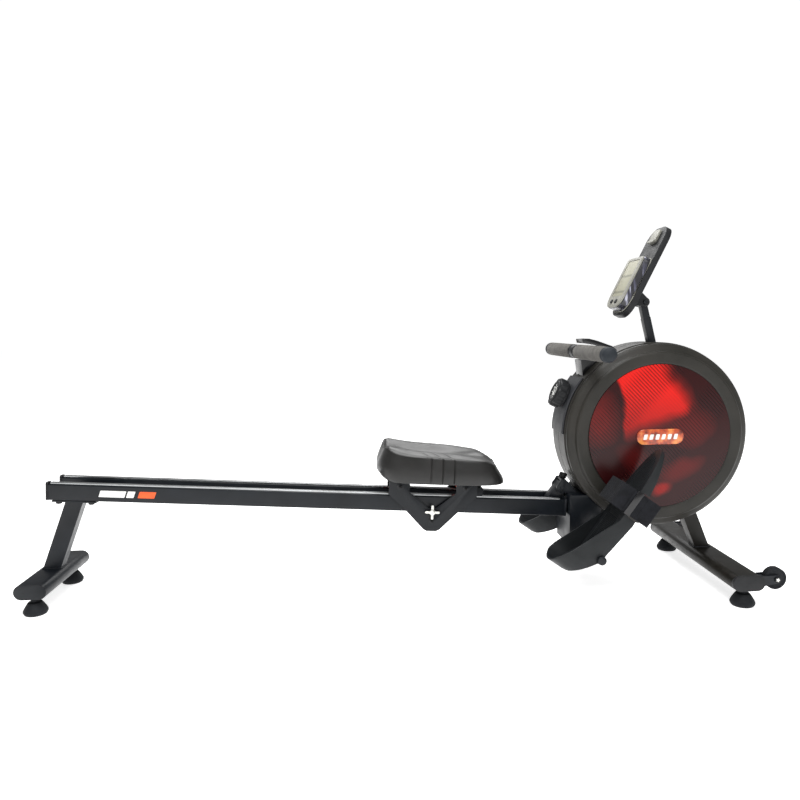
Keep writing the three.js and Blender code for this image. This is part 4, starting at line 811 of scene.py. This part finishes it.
def make_wheels():
    """Transport wheels: a tyre with two grooves on a dished hub, and a bolt with a star socket."""
    half = WHEEL_HALF
    tyre = [(9, -half + 1.5), (20, -half + 1.5), (21, -half), (24, -half), (25.4, -half + 1.6), (25.4, -3.6),
            (24.6, -3), (25.4, -2.4), (25.4, 2.4), (24.6, 3), (25.4, 3.6), (25.4, half - 1.6), (24, half),
            (21, half), (20, half - 1.5), (9, half - 1.5), (8, half), (4.4, half), (4.4, -half), (8, -half)]
    for side, sign in SIDES:
        place = place_at(joint_point(f"wheel_{side}_turn"))
        stand_in(f"transport_wheel_{side}", "tyre", lathe(tyre, 72), place, RUBBER)
        refined(f"wheel_bracket_{side}", PAINT, 0.6)
        star = []
        for k in range(10):
            radius = 5.2 if k % 2 == 0 else 3.0
            star.append(Vector((radius * math.cos(math.pi * k / 5), radius * math.sin(math.pi * k / 5))))
        face = 14.6
        head = prism(circle(6.6, 32), face, face + 3.2, edge=1.2)
        socket = prism(star, face + 3.1, face + 3.6, edge=0.1)
        head, socket = on_side(-sign, head, socket)
        piece(f"wheel_bolt_{side}", head, place, BLACK, "frame")
        piece(f"wheel_bolt_star_{side}", socket, place, ZINC, "frame")


def make_front_bar():
    refined("front_stabiliser", PAINT_WARM, 0.5)
    for side, _ in SIDES:
        refined(f"front_bar_cap_{side}", BLACK, 1.5, 3)


# ---------- rails ----------
def make_rails():
    for side, sign in SIDES:
        refined(f"rail_{side}", PAINT, 0.7)
        refined(f"track_{side}", ALUMINIUM, 0.5)
        refined(f"rail_cap_{side}", BLACK, 1.2, 3)
    refined("rail_hinge_plate", PAINT)
    refined("front_stop", RUBBER, 1.0)
    refined("rear_leg", PAINT, 2.0, 3)
    weld_bead("rear_leg_weld", -881, -837.5, 16, "rail_frame")
    # Plain stripes on the near beam, in place of lettering
    face = -BEAM_Y - BEAM_WIDTH / 2
    bars = [(-1152, 62, WHITE_PRINT), (-1086, 18, WHITE_PRINT), (-1058, 40, ORANGE_PRINT)]
    for number, (start, length, ink) in enumerate(bars):
        end = start + length
        corners = [(start, 12), (end, 12), (end + STRIPE_LEAN, 28), (start + STRIPE_LEAN, 28)]
        outline = rounded(corners, 1.5, 3)
        stripe = prism(outline, face - 0.25, face + 0.05, edge=0.05, steps=1)
        piece(f"rail_stripe_{number + 1}", stripe, RAILS, ink, "rail_frame")
    under = -4.3
    bolt = [(0, under - 6), (5, under - 5.6), (7.4, under - 3.5), (7.6, under), (0, under)]
    for number, along in enumerate((-1250, -1172)):
        for side, sign in SIDES:
            head = moved(lathe(bolt, 28, "z"), along, sign * BEAM_Y)
            piece(f"leg_bolt_{side}_{number + 1}", head, RAILS, BLACK, "rail_frame")


def weld_bead(name, left, right, half, body):
    """A rippled bead round the foot of an upright, on top of the bar it stands on."""
    top, radius, sides = 78.5, 2.6, 8
    turns = ((left, -half), (right, -half), (right, half), (left, half), (left, -half))
    corners = [Vector((x, y, top)) for x, y in turns]
    points = []
    for start, end in zip(corners, corners[1:]):
        count = max(2, int((end - start).length / 2.5))
        points += [start.lerp(end, k / count) for k in range(count)]
    points.append(corners[-1])
    mesh = tube(points, radius, sides)
    for number, vertex in enumerate(mesh.verts):
        ring = number // sides
        swell = 1 + 0.16 * math.sin(ring * 2.1)
        vertex.co = points[ring] + (vertex.co - points[ring]) * swell
    piece(name, mesh, WORLD, PAINT, body)


# ---------- seat ----------
def lerp(a, b, t):
    return a + (b - a) * t


def bell(value, centre, width):
    return math.exp(-(((value - centre) / width) ** 2))


def smooth(value, start, end):
    share = min(1.0, max(0.0, (value - start) / (end - start)))
    return share * share * (3 - 2 * share)


GROOVES = (-12, 16, 44)


def seat_top(x, y, rear, front):
    """Height of the pad's top over its lower edge: two side crests round a scooped middle."""
    share = (x - rear) / (front - rear)
    shoulder = lerp(59, 44, share)
    crest = 13 * bell(abs(y), 72, 40) * (1 - 0.6 * smooth(share, 0.55, 0.95))
    lip = 9 * bell(share, 0.08, 0.13) * bell(y, 0, 90)
    scoop = -4 * bell(y, 0, 46) * bell(share, 0.5, 0.3)
    tongue = 12 * bell(y, 0, 30) * bell(share, 0.84, 0.2)
    fall = -20 * smooth(share, 0.76, 1.0) ** 1.6
    rear_fall = -11 * (1 - smooth(share, 0.0, 0.1))
    return shoulder + 6 + crest + lip + scoop + tongue + fall + rear_fall


def groove_depth(x, y):
    """How deep the moulded grooves are at a point on the pad, from 0 to 1."""
    inwards = max(0.0, 116 - abs(y))
    depth = 0.0
    for start in GROOVES:
        line = start - 0.55 * inwards - 0.004 * inwards ** 2
        depth = max(depth, bell(x, line, 1.9) * smooth(78 - inwards, 0, 30))
    return depth


def even_outline(count, power):
    """Points spread evenly round a squared oval of unit half-sizes."""
    dense = []
    fine = 6000
    for k in range(fine):
        c, s = math.cos(2 * math.pi * k / fine), math.sin(2 * math.pi * k / fine)
        dense.append(Vector((math.copysign(abs(c) ** power, c), math.copysign(abs(s) ** power, s))))
    runs = [0.0]
    for a, b in zip(dense, dense[1:] + dense[:1]):
        runs.append(runs[-1] + (b - a).length)
    outline = []
    index = 0
    for k in range(count):
        wanted = runs[-1] * k / count
        while runs[index + 1] < wanted:
            index += 1
        share = (wanted - runs[index]) / (runs[index + 1] - runs[index])
        outline.append(dense[index].lerp(dense[(index + 1) % fine], share))
    return outline


def make_seat_pad():
    """A moulded pad: skirt with three grooves a side, a sharp shoulder, and a scooped top."""
    to_seat = SEAT.inverted()
    corners = [to_seat @ v.co for v in frame["nodes"]["seat_pad"].data.vertices]
    rear = min(c.x for c in corners)
    front = max(c.x for c in corners)
    half = max(c.y for c in corners)
    middle, reach = (rear + front) / 2, (front - rear) / 2
    unit = even_outline(840, 2 / 4.4)
    square = even_outline(840, 2 / 16)

    def edge_point(u, draw_in, share):
        """A point of the pad's edge; share is its height, from 0 at the bottom to 1 at the shoulder."""
        ahead = max(0.0, u.x)
        behind = max(0.0, -u.x)
        x = middle + (reach - draw_in) * u.x
        x -= 17 * share ** 1.5 * ahead ** 4
        x += 24 * max(0.0, 1 - share / 0.4) ** 2 * behind ** 5 + 10 * share ** 3 * behind ** 5
        y = (half - draw_in) * u.y * (1 - 0.07 * ahead ** 2)
        return x, y

    rings = []
    for level in (CARRIAGE_ROOF, CARRIAGE_ROOF - 2, SEAT_BOTTOM + 0.6):
        rings.append([(RECESS_HALF_X * u.x, RECESS_HALF_Y * u.y, level) for u in square])
    skirt = [(13, 0.0), (6, 0.0), (2.6, 0.015), (0.9, 0.06), (0.1, 0.14), (0, 0.3), (0.8, 0.5), (2.4, 0.68),
             (4.4, 0.82), (5.4, 0.91), (6.0, 0.965), (6.5, 0.99), (7.2, 1.0)]
    for draw_in, share in skirt:
        ring = []
        for u in unit:
            x, y = edge_point(u, draw_in, share)
            if abs(y) > 0.8 * half and share > 0.01:
                y -= math.copysign(2.6 * max(bell(x, g, 1.9) for g in GROOVES), y)
            ring.append((x, y, SEAT_BOTTOM + share * seat_top(x, y, rear, front)))
        rings.append(ring)
    for draw_in, lift in ((8.2, -1.6), (9.4, -2.4), (10.8, -1.8), (13.0, -0.4), (16.0, 0.3), (20.0, 0.3)):
        ring = []
        for u in unit:
            x, y = edge_point(u, draw_in, 1)
            height = seat_top(x, y, rear, front) + lift - 2.0 * groove_depth(x, y)
            ring.append((x, y, SEAT_BOTTOM + height))
        rings.append(ring)
    steps = 34
    for step in range(1, steps):
        share = 1 - step / steps
        ring = []
        for u in unit:
            x, y = edge_point(u, 20.0, 1)
            x, y = lerp(middle, x, share), y * share
            height = seat_top(x, y, rear, front) - 2.0 * groove_depth(x, y)
            ring.append((x, y, SEAT_BOTTOM + height))
        rings.append(ring)
    pad = stand_in("seat_pad", "moulding", loft(rings), SEAT, SEAT_SKIN)


def make_carriage():
    refined("seat_carriage", PAINT, 0.5)
    refined("seat_screw", ZINC, 1.2, 3)
    for side, sign in SIDES:
        heads = []
        for along, up in ((-82, 63.8), (82, 63.8), (0, -20.3)):
            washer = prism(circle(7.6, 32), 57.2, 58.2, edge=0.3, steps=2)
            head = prism(circle(5.4, 6), 58.1, 61, edge=0.8, steps=2)
            heads.append(moved(merged(washer, head), along, 0, up))
        bolts, = on_side(-sign, merged(*heads))
        piece(f"carriage_bolts_{side}", bolts, SEAT, GLOSS, "seat")
    core, rim = 9, ROLLER_RADIUS
    far_wheel = [(core, 31), (core + 1, 32), (rim - 1, 32), (rim, 33), (rim, 47.2), (rim - 1, 48.4),
                 (core + 1, 48.4), (core, 49.4), (core, 53), (4.4, 53)]
    wheel = [(radius, -along) for radius, along in reversed(far_wheel)] + far_wheel
    for where, material in (("rear", URETHANE), ("front", URETHANE), ("lower", RUBBER)):
        place = place_at(joint_point(f"{where}_roller_turn"))
        stand_in(f"seat_roller_{where}", "wheels", lathe(wheel, 56), place, material)


# ---------- front frame ----------
def make_front_frame():
    refined("main_frame", PAINT_WARM, 2.0, 3)
    refined("fold_bracket", PAINT, 2.0, 3)
    weld_bead("post_weld", 783, 821, 17.5, "frame")
    refined("fold_knob", BLACK, 0.5)
    refined("pedal_axle", PAINT, 0.8)


# ---------- drum ----------
def make_casing():
    """Shell halves with a soft shoulder, a stepped ring and a groove round the red lens."""
    ring = LENS_RADIUS + 0.3
    wall = 3
    profile = rounded(
        [(DRUM_RADIUS - wall, -0.15), (DRUM_RADIUS - wall, -DRUM_HALF + 12),
         (DRUM_RADIUS - wall - 5.5, -DRUM_HALF + 10), (DRUM_RADIUS - wall - 5.5, -DRUM_HALF + 1),
         (FACE_RADIUS - 3, -DRUM_FACE + 8),
         (ring, -DRUM_FACE + 8), (ring, -DRUM_FACE + 2, 0.5), (ring + 2.6, -DRUM_FACE, 1.6),
         (FACE_RADIUS - 4, -DRUM_FACE, 2), (FACE_RADIUS - 0.4, -DRUM_FACE + 2.6, 1.6),
         (FACE_RADIUS + 1.2, -DRUM_FACE + 8, 2.5), (DRUM_RADIUS - 8, -DRUM_HALF - 10, 5),
         (DRUM_RADIUS - 3, -DRUM_HALF - 5, 1.6), (DRUM_RADIUS - 2, -DRUM_HALF + 1.4, 0.8),
         (DRUM_RADIUS - 5.5, -DRUM_HALF + 2, 0.6), (DRUM_RADIUS - 5.5, -DRUM_HALF + 7.2, 0.6),
         (DRUM_RADIUS, -DRUM_HALF + 8, 0.8), (DRUM_RADIUS, -1.2, 0.6), (DRUM_RADIUS - 0.7, -0.15, 0.3)],
        1.0,
        5,
    )
    # Clearance holes round the pieces that pass through the shells
    low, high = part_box("fold_bracket")
    grow = 1.6 * MM
    bracket_top = 236.5 * MM
    centre = joint_point("flywheel_spin")
    bracket = block(
        ((low.x - grow - centre.x) / MM, (low.y - grow) / MM, (low.z - centre.z) / MM),
        ((high.x + grow - centre.x) / MM, (high.y + grow) / MM, (bracket_top - centre.z) / MM),
    )
    spine = block((-157, -35.5, -246), (-37, 35.5, -154.5))
    post = moved(block((-19, -19, -120), (19, 19, 120)), 101.6, 0, -198.5, POST_LEAN)
    strap_slot = block((-157, -15, 205.2), (-63, 15, 213.2))
    mast = moved(block((-11, -11, -20), (11, 11, 60)), 12, 0, 208, MAST_LEAN)
    for side, sign in SIDES:
        shell, = on_side(sign, lathe(profile, 160))
        tools = [t.copy() for t in (bracket, spine, post, strap_slot, mast)]
        stand_in(f"casing_{side}", "shell", carved(shell, *tools), DRUM, CASING)


def make_lenses():
    steps = 14
    dome = []
    for k in range(steps + 1):
        share = k / steps
        dome.append((LENS_RADIUS * share, -DRUM_FACE + 0.5 - LENS_DOME * (1 - share ** 2)))
    profile = dome + [(LENS_RADIUS, -DRUM_FACE + 4), (0, -DRUM_FACE + 4)]
    for side, sign in SIDES:
        lens, = on_side(sign, lathe(profile, 144))
        stand_in(f"lens_{side}", "dome", lens, DRUM, LENS)
        # Plain oval badge, low on the dome's middle
        hub = joint_point("flywheel_spin") / MM
        middle = Vector((BADGE_X - hub.x, BADGE_Z - hub.z))
        outline = [p + middle for p in stadium(BADGE_LENGTH, BADGE_HEIGHT, 20)]
        plate = prism(outline, -DRUM_FACE - 9.0, -DRUM_FACE - 4.5, edge=1.6, steps=4)
        dashes = []
        for k in range(BADGE_DASHES):
            start = middle.x - 43 + 15 * k
            outline = rounded([(start, middle.y - 6.5), (start + 9, middle.y - 6.5),
                               (start + 12, middle.y + 6.5), (start + 3, middle.y + 6.5)], 2, 3)
            dashes.append(prism(outline, -DRUM_FACE - 9.6, -DRUM_FACE - 8.5, edge=0.3, steps=2))
        plate, bar = on_side(sign, plate, merged(*dashes))
        piece(f"badge_{side}", plate, DRUM, BADGE, "frame")
        piece(f"badge_dashes_{side}", bar, DRUM, WHITE_PRINT, "frame")


def make_rider_cover():
    """A curved panel on the rider's side, with a hole for the knob's stem."""
    inner, outer = DRUM_RADIUS + 0.3, DRUM_RADIUS + COVER_THICKNESS
    back = arc(inner, COVER_START, COVER_END, 40)
    front = arc(outer, COVER_END - 0.8, COVER_START + 0.4, 40)
    outline = [Vector(p) for p in back + front]
    panel = prism(outline, -COVER_HALF, COVER_HALF, edge=2.6, steps=5)
    hole = lathe([(0, -40), (6, -40), (6, 40), (0, 40)], 32, "z")
    away = Matrix.Rotation(math.radians(90 - KNOB_ANGLE), 4, "Y")
    hole.transform(away @ Matrix.Translation((0, 0, DRUM_RADIUS)))
    stand_in("rider_cover", "panel", carved(panel, hole), DRUM, COVER)


def make_cradle():
    refined("handle_cradle", GLOSS, 1.6, 3)


def make_tension_knob():
    """A scalloped knob with white marks round its face."""
    axis = Vector(joints["tension_turn"]["axis"])
    base = joint_point("tension_turn")
    place = Matrix.Translation(base) @ axis.to_track_quat("Z", "Y").to_matrix().to_4x4() @ Matrix.Scale(MM, 4)
    scallop = []
    count = 180
    for k in range(count):
        turn = 2 * math.pi * k / count
        radius = 35.6 + 2.0 * math.tanh(2.6 * math.cos(9 * turn) + 0.8)
        scallop.append(Vector((radius * math.cos(turn), radius * math.sin(turn))))
    grip = prism(scallop, 5, 27, "z", edge=3, steps=5)
    skirt = lathe([(0, 0.2), (32, 0.2), (33.5, 1.5), (33.5, 6), (0, 6)], 64, "z")
    face = lathe([(0, 27.6), (19, 27.6), (21, 29.6), (27, 29.6), (28.5, 28.2), (28.5, 25), (0, 25)], 64, "z")
    stem = lathe([(0, -26), (5, -26), (5, 1), (0, 1)], 24, "z")
    stand_in("tension_knob", "grip", merged(grip, skirt, face, stem), place, BLACK)
    marks = []
    for k in range(8):
        mark = block((14, -1.1, 27.5), (18.4, 1.1, 28.1), 0.1)
        marks.append(moved(mark, turn=45 * k + 10, about="Z"))
    pointer = prism(rounded([(-3.4, -9), (3.4, -9), (0, 10)], 0.8, 3), 27.5, 28.2, "z", edge=0.1, steps=1)
    ring = lathe([(10.2, 27.5), (11.6, 27.5), (11.6, 28.1), (10.2, 28.1)], 48, "z")
    prints = merged(pointer, ring, *marks)
    piece("tension_knob_marks", prints, place, WHITE_PRINT, "tension_knob")


# ---------- handle ----------
def make_handle():
    refined("handle_bar", BLACK, 0.8)
    rib_base, rib_top = COLLAR_RADIUS - 2, COLLAR_RADIUS + 0.8
    rib = [(rib_base, -1.2), (rib_top, -0.8), (rib_top, 0.8), (rib_base, 1.2)]
    ribs = [moved(lathe(rib, 48), y=sign * along) for sign in (-1, 1) for along in (14, 18)]
    piece("handle_collar_ribs", merged(*ribs), HANDLE, BLACK, "handle")
    r = GRIP_RADIUS
    grip = [(GRIP_BORE, -GRIP_END), (r - 2, -GRIP_END), (r - 0.5, -GRIP_END + 0.6), (r, -GRIP_END + 2),
            (r, -GRIP_START - 2), (r - 0.5, -GRIP_START - 0.6), (r - 2, -GRIP_START),
            (GRIP_BORE, -GRIP_START)]
    turns = [math.pi / 2 * k / 12 for k in range(13)]
    dome = [(CAP_RADIUS * math.sin(t), -HANDLE_HALF + 14 - 14 * math.cos(t)) for t in turns]
    cap = dome + [(CAP_RADIUS, -GRIP_END - 4), (CAP_RADIUS + 0.4, -GRIP_END - 3.4),
                  (CAP_RADIUS + 0.4, -GRIP_END - 0.8), (CAP_RADIUS - 0.2, -GRIP_END - 0.3),
                  (GRIP_BORE, -GRIP_END - 0.3), (GRIP_BORE, -220.3), (0, -220.3)]
    for side, sign in SIDES:
        foam, end = on_side(sign, lathe(grip, 72), lathe(cap, 72))
        stand_in(f"grip_{side}", "foam", foam, HANDLE, FOAM)
        stand_in(f"handle_cap_{side}", "dome", end, HANDLE, CAP_RUBBER)
    painted("drive_strap", STRAP)


def make_pull_strap():
    """A flat webbing strap, lofted along the frame node's box and shown in place of that node."""
    low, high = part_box("pull_strap")
    outline = rectangle(low.y, low.z, high.y, high.z, 0.6 * MM, 3)
    steps = 40
    rings = [[(lerp(low.x, high.x, k / steps), p.x, p.y) for p in outline] for k in range(steps + 1)]
    strap = bare_object("pull_strap_webbing", loft(rings))
    strap.data.materials.append(STRAP)
    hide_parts("pull_strap")
    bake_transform(strap)


# ---------- console ----------
def console_outline(half, bottom, top, bottom_radius, top_radius, steps=10):
    lower, upper = bottom_radius * 1.3, top_radius * 1.3
    points = [(half, bottom, lower), (half, top, upper), (-half, top, upper), (-half, bottom, lower)]
    return rounded(points, 1, steps)


def make_console():
    refined("console_mast", PAINT, 1.5, 3)
    refined("console_plate", BLACK, 2.0, 3)
    outline = console_outline(METER_HALF, METER_BOTTOM, METER_TOP, 30, 10)
    meter = prism(outline, METER_FACE_X, PLATE_FACE_X - 0.3, "x", edge=1.5)
    stand_in("console_meter", "body", meter, CONSOLE, METER_SIDE)
    rim = console_outline(METER_HALF - 1, METER_BOTTOM + 1, METER_TOP - 1, 29, 9)
    front = METER_FACE_X - 4.3
    bezel = prism(rim, front, METER_FACE_X - 0.3, "x", edge=1.2)
    low, high, half = METER_BOTTOM + 32, METER_TOP - 9, 36
    window = prism(rectangle(-half, low, half, high, 5), front - 1, front + 1.6, "x", edge=0.2)
    places = [(side * BUTTON_Y, BUTTON_Z) for side in (-1, 1)]
    pockets = [prism(circle(6.4, 32, spot), front - 1, METER_FACE_X, "x", edge=0.01) for spot in places]
    stand_in("console_bezel", "frame", carved(bezel, window, *pockets), CONSOLE, SILVER)
    pane = rectangle(-half + 0.4, low + 0.4, half - 0.4, high - 0.4, 5)
    glass = prism(pane, front + 0.7, front + 1.7, "x", edge=0.3)
    piece("console_screen", glass, CONSOLE, SCREEN, "console")
    for name, spot in zip(("mode", "reset"), places):
        cap = prism(circle(6, 40, spot), front - 2.5, METER_FACE_X + 4, "x", edge=1.0)
        stand_in(f"button_{name}", "cap", cap, CONSOLE, BLACK)
    refined("phone_clip", SILVER, 0.8)
    edge = console_outline(METER_HALF + 1.5, METER_BOTTOM - 1.5, METER_TOP + 1.5, 31, 11)
    seam = tube([(PLATE_FACE_X - 1.5, p.x, p.y) for p in anticlockwise(edge)], 1.3, 8, closed=True)
    piece("console_seam", seam, CONSOLE, SILVER, "console")


# ---------- pedals ----------
def make_pedal_strap(side, sign):
    """A webbing band over the foot, its outer flap hanging down past the pedal's wall, with a buckle."""
    start, end, thick = 190, 248, 2.5
    inner = PEDAL_HALF + 3.4
    over = [(-inner - 9, -80), (-inner - 2, -50), (-inner, -24), (-inner, 1, 10), (-inner + 12, 12.5, 9),
            (0, 14.5, 40), (inner - 12, 12.5, 9), (inner, 1, 10), (inner, -24), (inner, -52)]
    path = [Vector(p[:2]) for p in rounded(over, 6, 5)]
    away = []
    for i, point in enumerate(path):
        along = (path[min(i + 1, len(path) - 1)] - path[max(i - 1, 0)]).normalized()
        away.append(point + Vector((-along.y, along.x)) * thick)
    band = prism([*path, *reversed(away)], start, end, "x", edge=0.8, steps=2)
    fold = prism(
        rounded([(-inner - 6.2, -44), (-inner - 3.2, -44), (-inner - 3.2, -8), (-inner - 6.2, -12)], 1.2, 3),
        start + 2, end - 2, "x", edge=0.8, steps=2,
    )
    buckle = prism(
        rounded([(-inner - 8.4, -30), (-inner - 6.4, -30), (-inner - 6.4, -14), (-inner - 8.4, -14)], 0.8, 3),
        start - 2, end + 2, "x", edge=0.8, steps=2,
    )
    strap, buckle = on_side(sign, merged(band, fold), buckle)
    stand_in(f"pedal_strap_{side}", "band", strap, PEDALS[side], PEDAL_STRAP)
    piece(f"pedal_buckle_{side}", buckle, PEDALS[side], GLOSS, f"pedal_{side}")


def make_pedals():
    for side, sign in SIDES:
        body = f"pedal_{side}"
        refined(body, PEDAL, 1.4, 3)
        ribs = []
        for k in range(9):
            y = -28 + 7 * k
            tip = 340 - 0.055 * y * y
            rib = prism(rectangle(24, y - 1.2, tip, y + 1.2, 1, 3), -25.2, -23, "z", edge=0.7, steps=2)
            ribs.append(rib)
        piece(f"{body}_ribs", merged(*ribs), PEDALS[side], PEDAL, body)
        make_pedal_strap(side, sign)


# ---------- inside the drum ----------
def make_inner_pieces():
    painted("flywheel", IRON)
    painted("flywheel_axle", ZINC)
    painted("brake_arm", ZINC)
    painted("strap_reel", BLACK)
    painted("guide_roller", BLACK)


make_camera()
make_stage()
make_feet()
make_wheels()
make_front_bar()
make_rails()
make_seat_pad()
make_carriage()
make_front_frame()
make_casing()
make_lenses()
make_rider_cover()
make_cradle()
make_tension_knob()
make_handle()
make_pull_strap()
make_console()
make_pedals()
make_inner_pieces()
